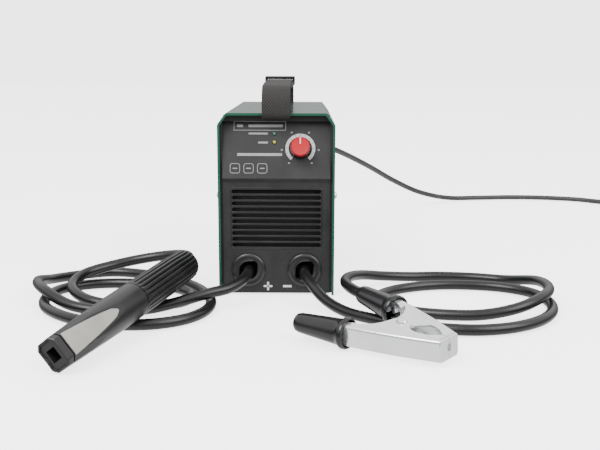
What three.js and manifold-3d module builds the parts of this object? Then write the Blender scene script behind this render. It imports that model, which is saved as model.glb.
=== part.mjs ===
// Compact inverter stick welder: a sheet steel case with moulded end panels, a strap handle,
// an electrode holder and a ground clamp on their leads, and a mains lead with its plug.
// Millimetres. +X right, +Y to the rear, +Z up. The origin is on the underside of the chassis,
// at the middle of the case.
import * as THREE from 'three';
import { mergeVertices } from 'three/addons/utils/BufferGeometryUtils.js';
import Module from 'manifold-3d';

const wasm = await Module();
wasm.setup();

// ---- Driving dimensions ----
const fit = 0.3; // gap between pieces that touch

const caseWidth = 112;
const caseDepth = 235;
const caseHeight = 177;
const shoulderRun = 8; // chamfered shoulder of the cover, across
const shoulderDrop = 11; // and down
const coverSheet = 1;
const coverGround = 0.4; // the cover's lower edge stands this far off the floor
const chassisSheet = 1.2;
const chassisFlange = 12;

const panelWall = 2.5;
const panelRim = 3.5; // dark reveal between cover and panel face
const panelGround = 1.5;
const rimSetback = 6; // reveal, behind the cover's edge
const faceSetback = 4; // louvred face, behind the cover's edge
const lipSetback = 0.5; // lower lip of the sloping console
const consoleSetback = 14; // top of the console
const lipHeight = caseHeight - 62;
const consoleTop = caseHeight - 8;
const panelDepth = 24;

const louvrePitch = 5.8;
const louvreHeight = 4.2;
const louvreWidth = caseWidth - 26;
const louvreBottom = 47.5;
const louvreCount = Math.floor((lipHeight - 8 - louvreBottom) / louvrePitch);

const outletSpread = 27.3;
const outletHeight = 25;
const outletFlange = 33;
const outletFlangeThick = 3.2;
const outletBarrel = 23;
const outletBore = 16.5;
const outletDepth = 16;
const weldLead = 10;

const knobX = 22.8;
const knobHeight = caseHeight - 34;
const knobCap = 18;
const knobSkirt = 20;
const knobReach = 16;
const knobShaft = 6;
const scaleOuter = 28.5;
const scaleInner = 22.5;
const scaleSheet = 0.5;
const scaleOpening = 80 * Math.PI / 180;
const ledSize = 3.2;
const ledX = -2;
const ledHeights = { power_led: caseHeight - 20, overheat_led: caseHeight - 28 };

const strapWidth = 28;
const strapThick = 1.8;
const strapRise = 28; // top of the strap over the cover
const strapSlotHeight = 3.4;
const strapSlotZ = caseHeight - 6.4;
const buckleWidth = strapWidth + 5.5;
const buckleLength = 22;
const buckleThick = 3;
const buckleY = 20;

const fanSize = 80;
const fanDepth = 25;
const fanHeight = 60;
const fanBore = 74;
const fanHub = 30;
const fanBlades = 7;
const bladeSheet = 2;

const switchX = -27;
const switchZ = caseHeight - 40;
const switchWidth = 22;
const switchHeight = 30;
const switchFlange = 2;
const switchBody = 22;
const rockerWidth = 13;
const rockerHeight = 21;
const rockerTilt = 12 * Math.PI / 180;

const mainsLead = 7.6;
const glandX = 28;
const glandZ = caseHeight - 43;
const glandHex = 22;
const glandThick = 5;
const reliefLength = 36;
const reliefBase = 15;
const reliefEnd = 10;
const coilX = 570.9; // centre of the coil, measured like the leads' routes
const coilBack = 575.7;
const coilLift = 2.2;
const coilInner = 31;
const coilOuter = 54;
const coilHeight = 15.6;
const tieSheet = 1.4;
const plugLength = 56;
const plugRound = 15;
const plugTail = 5.5;
const pinSize = 4.8;
const pinSpread = 19;
const pinReach = 19;

const coverScrewHead = 7;
const coverScrewThick = 2;
const coverScrewShank = 3.5;
const coverScrewLength = 7;
const coverScrewZ = 97;
const coverScrewInset = 14;

const boardZ = 16;
const boardThick = 1.6;
const boardWidth = 94;
const boardLength = 150;
const postSize = 7;

const holderLength = 210;
const handleLength = 97;
const holderRound = 15.5; // radius of the collar and handle
const handleEnd = 14;
const tipWide = 25.5;
const tipThick = 20;
const platePlanLength = 68;
const plateSheet = 1.6;
const electrodeSlotWide = 8.6;
const electrodeSlotTall = 9.6;
const electrodeSlotDeep = 26;
const handleRibs = 20;
const ribDepth = 1.2;

const clampLength = 125;
const clampPivot = 45; // from the tip
const clampTall = 18.4; // outside height of a jaw channel
const clampSheet = 1.6;
const clampTipHalf = 11;
const clampMouth = 76; // where the grip starts, from the tip
const clampMouthHalf = 35.7;
const clampEndHalf = 38.9;
const gripSeat = 6.5; // the grip's axis inside the channel's web
const gripRound = 13; // radius of the grip's flange
const rivetSize = 5;
const boltSize = 4;
const boltAt = 4; // from the mouth of the grip
const tang = 16; // length of the jaw inside its grip

// ---- Shared materials ----
const finish = (color, roughness, metalness = 0) =>
  new THREE.MeshStandardMaterial({ color, roughness, metalness });
const paint = {
  green: () => finish(0x063d28, 0.45, 0.2),
  zincSheet: () => finish(0xb9bdbd, 0.4, 0.9),
  blackMoulding: () => finish(0x333335, 0.55),
  glossBlack: () => finish(0x151515, 0.25),
  rubber: () => finish(0x2b2a2b, 0.7),
  red: () => finish(0xdc2f3c, 0.4),
  silver: () => finish(0xd0d0d0, 0.35, 0.6),
  steel: () => finish(0xc9ccce, 0.25, 1),
  brass: () => finish(0xc09a4a, 0.35, 1),
  aluminium: () => finish(0xb5b8ba, 0.4, 0.9),
  board: () => finish(0x14532d, 0.6),
  ferrite: () => finish(0x2f2f31, 0.6),
  copper: () => finish(0xb8703a, 0.4, 0.9),
  capacitor: () => finish(0x20242e, 0.4),
  webbing: () => finish(0x35312f, 0.9),
  greyPlate: () => finish(0x99968f, 0.6),
  green_led: () => finish(0x4fae7a, 0.3),
  yellow_led: () => finish(0xc9b04a, 0.3),
};

// ---- Geometry helpers ----
function toSolid(geometry) {
  const bare = geometry.clone();
  bare.deleteAttribute('normal');
  bare.deleteAttribute('uv');
  const merged = mergeVertices(bare, 1e-4);
  const index = merged.index.array;
  const faces = [];
  for (let i = 0; i < index.length; i += 3) {
    const [a, b, c] = [index[i], index[i + 1], index[i + 2]];
    if (a !== b && b !== c && c !== a) faces.push(a, b, c);
  }
  return new wasm.Manifold(new wasm.Mesh({
    numProp: 3,
    vertProperties: new Float32Array(merged.attributes.position.array),
    triVerts: new Uint32Array(faces),
  }));
}

function toGeometry(solid) {
  const { vertProperties, triVerts } = solid.getMesh();
  const geometry = new THREE.BufferGeometry();
  geometry.setAttribute('position', new THREE.BufferAttribute(vertProperties, 3));
  geometry.setIndex(new THREE.BufferAttribute(triVerts, 1));
  geometry.computeVertexNormals();
  return geometry;
}

const cut = (base, ...tools) => tools.reduce((solid, tool) => solid.subtract(toSolid(tool)), toSolid(base));
const join = (base, ...more) => more.reduce((solid, piece) => solid.add(toSolid(piece)), toSolid(base));
const cutFrom = (solid, ...tools) => tools.reduce((left, tool) => left.subtract(toSolid(tool)), solid);
const joinTo = (solid, ...more) => more.reduce((sum, piece) => sum.add(toSolid(piece)), solid);

function node(parent, name, shape, material) {
  const solid = shape instanceof THREE.BufferGeometry ? toSolid(shape) : shape;
  const mesh = new THREE.Mesh(toGeometry(solid), material);
  mesh.name = name;
  parent.add(mesh);
  return mesh;
}

// Box between two corners.
function block(x0, x1, y0, y1, z0, z1) {
  return new THREE.BoxGeometry(x1 - x0, y1 - y0, z1 - z0)
    .translate((x0 + x1) / 2, (y0 + y1) / 2, (z0 + z1) / 2);
}

const turnTo = {
  x: (geometry) => geometry.rotateZ(-Math.PI / 2),
  y: (geometry) => geometry,
  z: (geometry) => geometry.rotateX(Math.PI / 2),
};

// Round bar of a diameter between two stations on an axis.
function bar(axis, diameter, from, to, at, sides = 24, endDiameter = diameter) {
  const rod = new THREE.CylinderGeometry(endDiameter / 2, diameter / 2, to - from, sides)
    .translate(0, (from + to) / 2, 0);
  return turnTo[axis](rod).translate(...at);
}

// Solid of revolution: profile pairs are [radius, station], closed on the axis or on itself.
function turned(axis, profile, at, sides = 32) {
  const points = profile.map(([radius, station]) => new THREE.Vector2(radius, station));
  return turnTo[axis](new THREE.LatheGeometry(points, sides)).translate(...at);
}

// Outline in the XZ plane, given depth along +Y from y0 to y1.
function alongY(points, y0, y1) {
  const shape = new THREE.Shape(points.map(([x, z]) => new THREE.Vector2(x, z)));
  return new THREE.ExtrudeGeometry(shape, { depth: y1 - y0, bevelEnabled: false, curveSegments: 6 })
    .rotateX(Math.PI / 2).translate(0, y1, 0);
}

// Outline in the YZ plane, given width along X from x0 to x1.
function alongX(points, x0, x1) {
  const shape = new THREE.Shape(points.map(([y, z]) => new THREE.Vector2(y, z)));
  return new THREE.ExtrudeGeometry(shape, { depth: x1 - x0, bevelEnabled: false })
    .rotateX(Math.PI / 2).rotateZ(Math.PI / 2).translate(x0, 0, 0);
}

// Outline in the XY plane, given height along Z.
function alongZ(points, z0, z1) {
  const shape = new THREE.Shape(points.map(([x, y]) => new THREE.Vector2(x, y)));
  return new THREE.ExtrudeGeometry(shape, { depth: z1 - z0, bevelEnabled: false }).translate(0, 0, z0);
}

// Slot with round ends, lying along X, cut through in Y.
function slotY(width, height, x, z, y0, y1) {
  const half = width / 2 - height / 2;
  const shape = new THREE.Shape();
  shape.absarc(half, 0, height / 2, -Math.PI / 2, Math.PI / 2);
  shape.absarc(-half, 0, height / 2, Math.PI / 2, Math.PI * 3 / 2);
  return new THREE.ExtrudeGeometry(shape, { depth: y1 - y0, bevelEnabled: false, curveSegments: 4 })
    .rotateX(Math.PI / 2).translate(x, y1, z);
}

const model = new THREE.Group();
const fromFront = ([x, y, z]) => new THREE.Vector3(x, y + frontY, z);
const frontY = -caseDepth / 2;
const rearY = caseDepth / 2;
const halfWidth = caseWidth / 2;
const boardFrom = frontY + 46;
const boardTo = boardFrom + boardLength;
const boardPosts = [];
for (const x of [-40, 40]) boardPosts.push([x, boardFrom + 8], [x, boardTo - 8]);

// Outline of the case, drawn in by an inset, with its lower edge at a given height.
function caseOutline(inset, bottom) {
  const slope = Math.hypot(shoulderRun, shoulderDrop);
  const shiftX = inset * (slope - shoulderDrop) / shoulderRun; // keeps the wall even round the shoulder
  const shiftZ = inset * (slope - shoulderRun) / shoulderDrop;
  const side = halfWidth - inset;
  const top = caseHeight - inset;
  const shoulderZ = caseHeight - shoulderDrop - shiftX;
  const shoulderX = halfWidth - shoulderRun - shiftZ;
  return [[-side, bottom], [-side, shoulderZ], [-shoulderX, top],
    [shoulderX, top], [side, shoulderZ], [side, bottom]];
}

// ---- Case ----
function buildCase() {
  const outer = caseOutline(0, coverGround);
  const inner = caseOutline(coverSheet, coverGround).reverse();
  const cover = alongY([...outer, ...inner], frontY, rearY);
  const screwPlaces = [];
  for (const side of [-1, 1]) {
    screwPlaces.push([side, frontY + coverScrewInset], [side, rearY - coverScrewInset]);
  }
  const holes = screwPlaces.map(([side, y]) =>
    bar('x', coverScrewShank + 2 * fit, side * halfWidth - 9, side * halfWidth + 9, [0, y, coverScrewZ], 12));
  node(model, 'top_cover', cut(cover, ...holes), paint.green());

  const flangeOut = halfWidth - coverSheet - fit;
  const pan = [[-flangeOut, 0], [flangeOut, 0], [flangeOut, chassisFlange],
    [flangeOut - chassisSheet, chassisFlange], [flangeOut - chassisSheet, chassisSheet],
    [-flangeOut + chassisSheet, chassisSheet], [-flangeOut + chassisSheet, chassisFlange],
    [-flangeOut, chassisFlange]];
  const panFrom = frontY + panelDepth + fit;
  const panTo = rearY - panelDepth - fit;
  const posts = boardPosts.map(([x, y]) => bar('z', postSize, chassisSheet / 2, boardZ - fit, [x, y, 0], 6));
  node(model, 'chassis_pan', join(alongY(pan, panFrom, panTo), ...posts), paint.zincSheet());

  screwPlaces.forEach(([side, y], i) => {
    const seat = halfWidth + fit;
    const profile = [[0, -coverScrewLength], [coverScrewShank / 2, -coverScrewLength],
      [coverScrewShank / 2, 0], [coverScrewHead / 2, 0], [coverScrewHead / 2, coverScrewThick * 0.5],
      [coverScrewHead / 2 - 1.2, coverScrewThick], [0, coverScrewThick]];
    const screw = turned('x', profile, [0, 0, 0], 16);
    if (side < 0) screw.rotateZ(Math.PI);
    node(model, `cover_screw_${i + 1}`, screw.translate(side * seat, y, coverScrewZ), paint.steel());
  });
  return holes;
}

// ---- Front panel and what it carries ----
const faceHalf = halfWidth - coverSheet - panelRim;
const slopeRise = consoleTop - lipHeight;
const slopeRun = consoleSetback - lipSetback;
const consoleTilt = Math.atan2(slopeRun, slopeRise);

// Group whose XZ plane is the console's face: +Z runs up the slope and -Y points out of it.
const consoleGroup = new THREE.Group();
consoleGroup.position.set(0, frontY + lipSetback, lipHeight);
consoleGroup.rotation.x = -consoleTilt;
model.add(consoleGroup);
consoleGroup.updateMatrixWorld(true);
const upSlope = (height) => (height - lipHeight) / Math.cos(consoleTilt);

function buildFrontPanel(screwHoles) {
  const gap = coverSheet + fit;
  const backY = frontY + panelDepth;
  const faceY = frontY + faceSetback;
  const lipY = frontY + lipSetback;
  const topY = frontY + consoleSetback;
  const face = (inset) => [[faceY + inset, panelGround + inset], [faceY + inset, lipHeight - faceSetback],
    [lipY + inset, lipHeight], [topY + inset, consoleTop - inset]];
  const rim = alongY(caseOutline(gap, panelGround), frontY + rimSetback, backY);
  const front = alongX([...face(0), [backY, consoleTop], [backY, panelGround]], -faceHalf, faceHalf);
  const clearFront = alongX([[frontY - 2, lipHeight], [lipY, lipHeight], [topY, consoleTop],
    [topY, consoleTop + 0.01], [frontY - 2, consoleTop + 0.01]], -faceHalf, faceHalf);
  const hollow = alongX([...face(panelWall), [backY + 1, consoleTop - panelWall], [backY + 1, panelGround + panelWall]],
    -faceHalf + panelWall, faceHalf - panelWall);
  let panel = toSolid(rim).add(toSolid(front)).subtract(toSolid(clearFront)).subtract(toSolid(hollow));

  const slots = [];
  for (let i = 0; i < louvreCount; i++) {
    const z = louvreBottom + louvreHeight / 2 + i * louvrePitch;
    slots.push(slotY(louvreWidth, louvreHeight, 0, z, frontY - 1, faceY + panelWall + 1));
  }
  const outletHoles = [-1, 1].map((side) =>
    bar('y', outletBarrel + 2 * fit, frontY - 1, backY, [side * outletSpread, 0, outletHeight], 32));
  const strapSlot = block(-strapWidth / 2 - 1, strapWidth / 2 + 1, frontY, backY + 1,
    strapSlotZ, strapSlotZ + strapSlotHeight);
  panel = cutFrom(panel, ...slots, ...outletHoles, strapSlot, ...screwHoles);

  const consoleHoles = [bar('y', knobShaft + 2, -5, 8, [knobX, 0, upSlope(knobHeight)], 24)];
  for (const height of Object.values(ledHeights)) {
    consoleHoles.push(bar('y', ledSize + 2 * fit, -5, 8, [ledX, 0, upSlope(height)], 16));
  }
  panel = cutFrom(panel, ...consoleHoles.map((hole) => hole.applyMatrix4(consoleGroup.matrixWorld)));
  node(model, 'front_panel', panel, paint.blackMoulding());

  // Weld outlets: flanged bushes with a keyed bore
  for (const [name, side] of [['positive_outlet', -1], ['negative_outlet', 1]]) {
    const flangeY = faceY - fit;
    const profile = [[outletBore / 2, -outletFlangeThick], [outletFlange / 2 - 2, -outletFlangeThick],
      [outletFlange / 2, -outletFlangeThick + 1.6], [outletFlange / 2, 0], [outletBarrel / 2, 0],
      [outletBarrel / 2, outletDepth], [outletBore / 2, outletDepth], [outletBore / 2, -outletFlangeThick]];
    const keys = block(-2, 2, -outletFlangeThick - 1, outletDepth + 1, -outletBore / 2 - 2, outletBore / 2 + 2)
      .rotateY(-Math.PI / 4);
    const bush = cut(turned('y', profile, [0, 0, 0], 40), keys);
    node(model, name, bush, paint.glossBlack()).position.set(side * outletSpread, flangeY, outletHeight);
  }

  // Current knob, scale and lamps on the console
  const knobS = upSlope(knobHeight);
  const arc = new THREE.Shape();
  const from = -Math.PI / 2 + scaleOpening / 2;
  const to = Math.PI * 3 / 2 - scaleOpening / 2;
  arc.absarc(0, 0, scaleOuter / 2, from, to, false);
  arc.absarc(0, 0, scaleInner / 2, to, from, true);
  const scale = new THREE.ExtrudeGeometry(arc, { depth: scaleSheet, bevelEnabled: false, curveSegments: 28 })
    .rotateX(Math.PI / 2).translate(knobX, -fit, knobS);
  node(consoleGroup, 'current_scale', scale, paint.silver());

  const capFrom = -knobReach;
  const skirtTo = -scaleSheet - 3 * fit;
  const seam = -knobReach * 0.55;
  const skirt = [[0, seam + fit], [knobCap / 2 - 0.4, seam + fit], [knobSkirt / 2, seam + 2.5],
    [knobSkirt / 2, skirtTo], [0, skirtTo]];
  node(consoleGroup, 'knob_skirt', turned('y', skirt, [knobX, 0, knobS], 32), paint.glossBlack());
  const cap = [[0, capFrom], [knobCap / 2 - 1, capFrom], [knobCap / 2, capFrom + 1],
    [knobCap / 2, seam], [0, seam]];
  node(consoleGroup, 'knob_cap', turned('y', cap, [knobX, 0, knobS], 32), paint.red());
  node(consoleGroup, 'knob_shaft', bar('y', knobShaft, skirtTo + fit, panelWall + 3, [knobX, 0, knobS], 20), paint.brass());
  const potFrom = panelWall + 3 + fit;
  const potProfile = [[0, potFrom], [8.5, potFrom], [8.5, potFrom + 9], [0, potFrom + 9]];
  node(consoleGroup, 'potentiometer', turned('y', potProfile, [knobX, 0, knobS], 24), paint.zincSheet());
  for (const [name, height] of Object.entries(ledHeights)) {
    const colour = name === 'power_led' ? paint.green_led() : paint.yellow_led();
    const lens = [[0, -0.9], [ledSize * 0.35, -0.6], [ledSize / 2, 0.2], [ledSize / 2, 6], [0, 6]];
    node(consoleGroup, name, turned('y', lens, [ledX, 0, upSlope(height)], 16), colour);
  }
  const boardFrom = potFrom + 9 + fit;
  const controlBoard = block(-40, 40, boardFrom, boardFrom + boardThick, 2, upSlope(consoleTop) - 6);
  node(consoleGroup, 'control_board', controlBoard, paint.board());
}

// ---- Rear panel, switch, fan and gland ----
const rearFaceY = rearY - faceSetback;

function buildRearPanel(screwHoles) {
  const frontEdge = rearY - panelDepth;
  const shell = alongY(caseOutline(coverSheet + fit, panelGround), frontEdge, rearY - rimSetback);
  const face = block(-faceHalf, faceHalf, frontEdge, rearFaceY, panelGround, consoleTop);
  const hollow = block(-faceHalf + panelWall, faceHalf - panelWall, frontEdge - 1, rearFaceY - panelWall,
    panelGround + panelWall, consoleTop - panelWall);
  let panel = toSolid(shell).add(toSolid(face)).subtract(toSolid(hollow));
  const slots = [];
  for (let z = -fanBore / 2 + louvreHeight; z < fanBore / 2 - 1; z += louvrePitch) {
    const width = 2 * Math.sqrt((fanBore / 2) ** 2 - z * z);
    slots.push(slotY(width, louvreHeight, 0, fanHeight + z, rearFaceY - panelWall - 1, rearY + 1));
  }
  const strapSlot = block(-strapWidth / 2 - 1, strapWidth / 2 + 1, frontEdge - 1, rearY,
    strapSlotZ, strapSlotZ + strapSlotHeight);
  const switchHole = block(switchX - switchWidth / 2 + 1.5, switchX + switchWidth / 2 - 1.5,
    rearFaceY - panelWall - 1, rearY, switchZ - switchHeight / 2 + 1.5, switchZ + switchHeight / 2 - 1.5);
  const glandHole = bar('y', reliefBase + 2 * fit, frontEdge, rearY, [glandX, 0, glandZ], 24);
  panel = cutFrom(panel, ...slots, strapSlot, switchHole, glandHole, ...screwHoles);
  node(model, 'rear_panel', panel, paint.blackMoulding());

  // Power switch
  const flangeFrom = rearFaceY + fit;
  const flangeTo = flangeFrom + switchFlange;
  const bezel = block(-switchWidth / 2, switchWidth / 2, flangeFrom, flangeTo, -switchHeight / 2, switchHeight / 2);
  const bodyHalf = switchWidth / 2 - 1.5 - fit;
  const tallHalf = switchHeight / 2 - 1.5 - fit;
  const body = block(-bodyHalf, bodyHalf, flangeFrom - switchBody, flangeFrom + 0.1, -tallHalf, tallHalf);
  const pocket = block(-rockerWidth / 2 - fit, rockerWidth / 2 + fit, flangeFrom - 11, flangeTo + 1,
    -rockerHeight / 2 - 1.2, rockerHeight / 2 + 1.2);
  const housing = toSolid(bezel).add(toSolid(body)).subtract(toSolid(pocket));
  node(model, 'switch_housing', housing, paint.glossBlack()).position.set(switchX, 0, switchZ);
  const pivotY = flangeFrom - 4.5;
  const reach = rockerHeight / 2 - 0.3;
  const rocker = alongX([[-4.5, 0], [-1, -reach * 0.8], [5.2, -reach], [4.2, 0], [5.2, reach], [-1, reach * 0.8]],
    -rockerWidth / 2, rockerWidth / 2);
  const rockerMesh = node(model, 'switch_rocker', rocker, paint.red());
  rockerMesh.position.set(switchX, pivotY, switchZ);
  rockerMesh.rotation.x = -rockerTilt / 2;

  // Mains entry: hex collar and tapered strain relief with a bore for the lead
  const collar = new THREE.CylinderGeometry(glandHex / Math.sqrt(3), glandHex / Math.sqrt(3), glandThick, 6)
    .translate(0, rearFaceY + fit + glandThick / 2, 0).translate(glandX, 0, glandZ);
  const collarHole = bar('y', reliefBase + 2 * fit, rearFaceY - 1, rearY + glandThick + 2, [glandX, 0, glandZ], 24);
  node(model, 'gland_collar', cut(collar, collarHole), paint.blackMoulding());
  const reliefFrom = rearFaceY - panelWall - 6;
  const reliefBend = rearFaceY + glandThick + 2;
  const reliefTo = rearFaceY + reliefLength;
  const bore = mainsLead / 2 + fit;
  const relief = [[bore, reliefFrom], [reliefBase / 2, reliefFrom], [reliefBase / 2, reliefBend],
    [reliefEnd / 2 + 0.4, reliefTo], [bore, reliefTo], [bore, reliefFrom]];
  node(model, 'strain_relief', turned('y', relief, [glandX, 0, glandZ], 24), paint.rubber());

  // Cooling fan behind the grille
  const fanTo = rearFaceY - panelWall - fit;
  const fanFrom = fanTo - fanDepth;
  const frame = block(-fanSize / 2, fanSize / 2, fanFrom, fanTo, fanHeight - fanSize / 2, fanHeight + fanSize / 2);
  const bay = bar('y', fanBore, fanFrom - 1, fanTo + 1, [0, 0, fanHeight], 40);
  const strut = block(-fanBore / 2 - 1, fanBore / 2 + 1, fanFrom, fanFrom + 3, fanHeight - 2, fanHeight + 2);
  const seat = bar('y', fanHub, fanFrom, fanFrom + 3, [0, 0, fanHeight], 24);
  node(model, 'fan_frame', joinTo(cut(frame, bay), strut, seat), paint.blackMoulding());
  const hubFrom = fanFrom + 3 + 1;
  const hubTo = fanTo - 2;
  const blades = [];
  for (let i = 0; i < fanBlades; i++) {
    const blade = block(-bladeSheet / 2, bladeSheet / 2, -(hubTo - hubFrom) * 0.42, (hubTo - hubFrom) * 0.42,
      fanHub / 2 - 2, fanBore / 2 - 2);
    blade.rotateZ(0.7).rotateY(i * 2 * Math.PI / fanBlades);
    blades.push(blade.translate(0, (hubFrom + hubTo) / 2, fanHeight));
  }
  const hub = bar('y', fanHub, hubFrom, hubTo, [0, 0, fanHeight], 28);
  node(model, 'fan_rotor', join(hub, ...blades), paint.glossBlack());
}

// ---- Electronics on the chassis ----
function buildInside() {
  const board = block(-boardWidth / 2, boardWidth / 2, boardFrom, boardTo, boardZ, boardZ + boardThick);
  node(model, 'power_board', board, paint.board());
  const deck = boardZ + boardThick + fit;

  // Finned heat sinks, fins upright and running front to rear
  const fins = 5;
  const finPitch = 5.5;
  const finSheet = 1.8;
  for (const [name, side] of [['heat_sink_left', -1], ['heat_sink_right', 1]]) {
    const outline = [[0, 0]];
    for (let i = 0; i < fins; i++) {
      const low = i * finPitch + 3;
      outline.push([4, low - 3 + (i ? 3 : 0)], [4, low], [20, low], [20, low + finSheet], [4, low + finSheet]);
    }
    outline.push([4, fins * finPitch + 3], [0, fins * finPitch + 3]);
    const sink = alongY(outline, boardFrom + 6, boardFrom + 90);
    if (side > 0) sink.rotateZ(Math.PI).translate(0, 2 * boardFrom + 96, 0);
    node(model, name, sink.translate(side * 44, 0, deck), paint.aluminium());
  }

  // Main transformer: ferrite frame round a winding
  const coreY = boardFrom + 34;
  const core = cut(block(-20, 20, coreY - 13, coreY + 13, deck, deck + 38),
    block(-11, 11, coreY - 14, coreY + 14, deck + 8, deck + 30));
  node(model, 'transformer_core', core, paint.ferrite());
  node(model, 'transformer_winding', block(-11 + fit, 11 - fit, coreY - 19, coreY + 19, deck + 8 + fit, deck + 30 - fit),
    paint.copper());

  for (const [i, x] of [-17, 17].entries()) {
    const can = [[0, deck], [15, deck], [15, deck + 38], [14, deck + 39], [0, deck + 39]];
    node(model, `filter_capacitor_${i + 1}`, turned('z', can, [x, boardFrom + 128, 0], 24), paint.capacitor());
  }
  const ring = [[8, -7], [17, -7], [17, 7], [8, 7], [8, -7]];
  node(model, 'output_choke', turned('y', ring, [0, boardFrom + 76, deck + 17], 28), paint.copper());

  // Weld terminals: brass blocks bolted down behind the outlets
  for (const [name, side] of [['positive_terminal', -1], ['negative_terminal', 1]]) {
    const y = frontY + panelDepth + 2;
    node(model, name, block(side * outletSpread - 8, side * outletSpread + 8, y, y + 18, chassisSheet + fit, 33),
      paint.brass());
  }
}

// ---- Strap handle ----
function buildStrap() {
  const top = caseHeight + strapRise;
  const slot = strapSlotZ + strapSlotHeight / 2;
  const front = [[frontY + panelDepth - 4, slot], [frontY + 6, slot], [frontY + 1, slot], [frontY - 3.2, slot + 2.2],
    [frontY - 4.4, slot + 8], [frontY - 4, slot + 17], [frontY - 0.5, slot + 24.5], [frontY + 7, top - 3.8],
    [frontY + 24, top - 2.4], [frontY + 66, top - 0.8], [0, top]];
  const rear = front.slice(0, -1).reverse().map(([y, z]) => [-y, z]);
  const path = [...front, ...rear].map(([y, z]) => new THREE.Vector3(0, y, z));
  const curve = new THREE.CatmullRomCurve3(path, false, 'centripetal');
  const steps = 56;
  const upper = [];
  const lower = [];
  for (let i = 0; i <= steps; i++) {
    const at = curve.getPointAt(i / steps);
    const along = curve.getTangentAt(i / steps);
    upper.push([at.y - along.z * strapThick / 2, at.z + along.y * strapThick / 2]);
    lower.push([at.y + along.z * strapThick / 2, at.z - along.y * strapThick / 2]);
  }
  const strap = alongX([...upper, ...lower.reverse()], -strapWidth / 2, strapWidth / 2);
  node(model, 'carry_strap', strap, paint.webbing());

  // Ladder buckle: end bars over the strap, centre bar under it
  let bed = top;
  for (let i = 0; i <= steps; i++) {
    const at = curve.getPointAt(i / steps);
    if (Math.abs(at.y - buckleY) < 4) bed = at.z;
  }
  const over = bed + strapThick / 2 + fit;
  const under = bed - strapThick / 2 - fit - 1.2;
  const half = buckleLength / 2;
  const railIn = strapWidth / 2 + fit;
  const bars = [block(-buckleWidth / 2, buckleWidth / 2, -half, -half + 4, over, over + buckleThick),
    block(-buckleWidth / 2, buckleWidth / 2, half - 4, half, over, over + buckleThick),
    block(-buckleWidth / 2, buckleWidth / 2, -2, 2, under - buckleThick, under)];
  const rails = [-1, 1].map((side) => block(Math.min(side * railIn, side * buckleWidth / 2),
    Math.max(side * railIn, side * buckleWidth / 2), -half, half, under - buckleThick, over + buckleThick));
  node(model, 'strap_buckle', join(bars[0], bars[1], bars[2], ...rails), paint.glossBlack())
    .position.set(0, buckleY, 0);

  // Steel bars inside the panels that the strap's sewn ends hang on
  for (const [name, y] of [['strap_bar_front', frontY + panelDepth - 2.2], ['strap_bar_rear', rearY - panelDepth + 2.2]]) {
    node(model, name, bar('x', 2.6, -strapWidth / 2 - 0.6, strapWidth / 2 + 0.6, [0, y, slot], 12), paint.steel());
  }
}

// ---- Electrode holder ----
// The holder's own frame: +X from the cable end to the tip, +Z out of the broad grey plate.
const holderRear = new THREE.Vector3(-84.5, -138.6, 36.4);
const holderTip = new THREE.Vector3(-155, -334.5, 14.6);
const holderRoll = 52 * Math.PI / 180;

function holderGroup() {
  const along = holderTip.clone().sub(holderRear).normalize();
  const level = new THREE.Vector3(-along.y, along.x, 0).normalize(); // level, square to the holder
  const upright = new THREE.Vector3().crossVectors(along, level);
  const plateOut = upright.clone().multiplyScalar(Math.cos(holderRoll))
    .addScaledVector(level, Math.sin(holderRoll));
  const across = new THREE.Vector3().crossVectors(plateOut, along);
  const group = new THREE.Group();
  group.quaternion.setFromRotationMatrix(new THREE.Matrix4().makeBasis(along, across, plateOut));
  group.position.copy(holderRear);
  return group;
}

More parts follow.
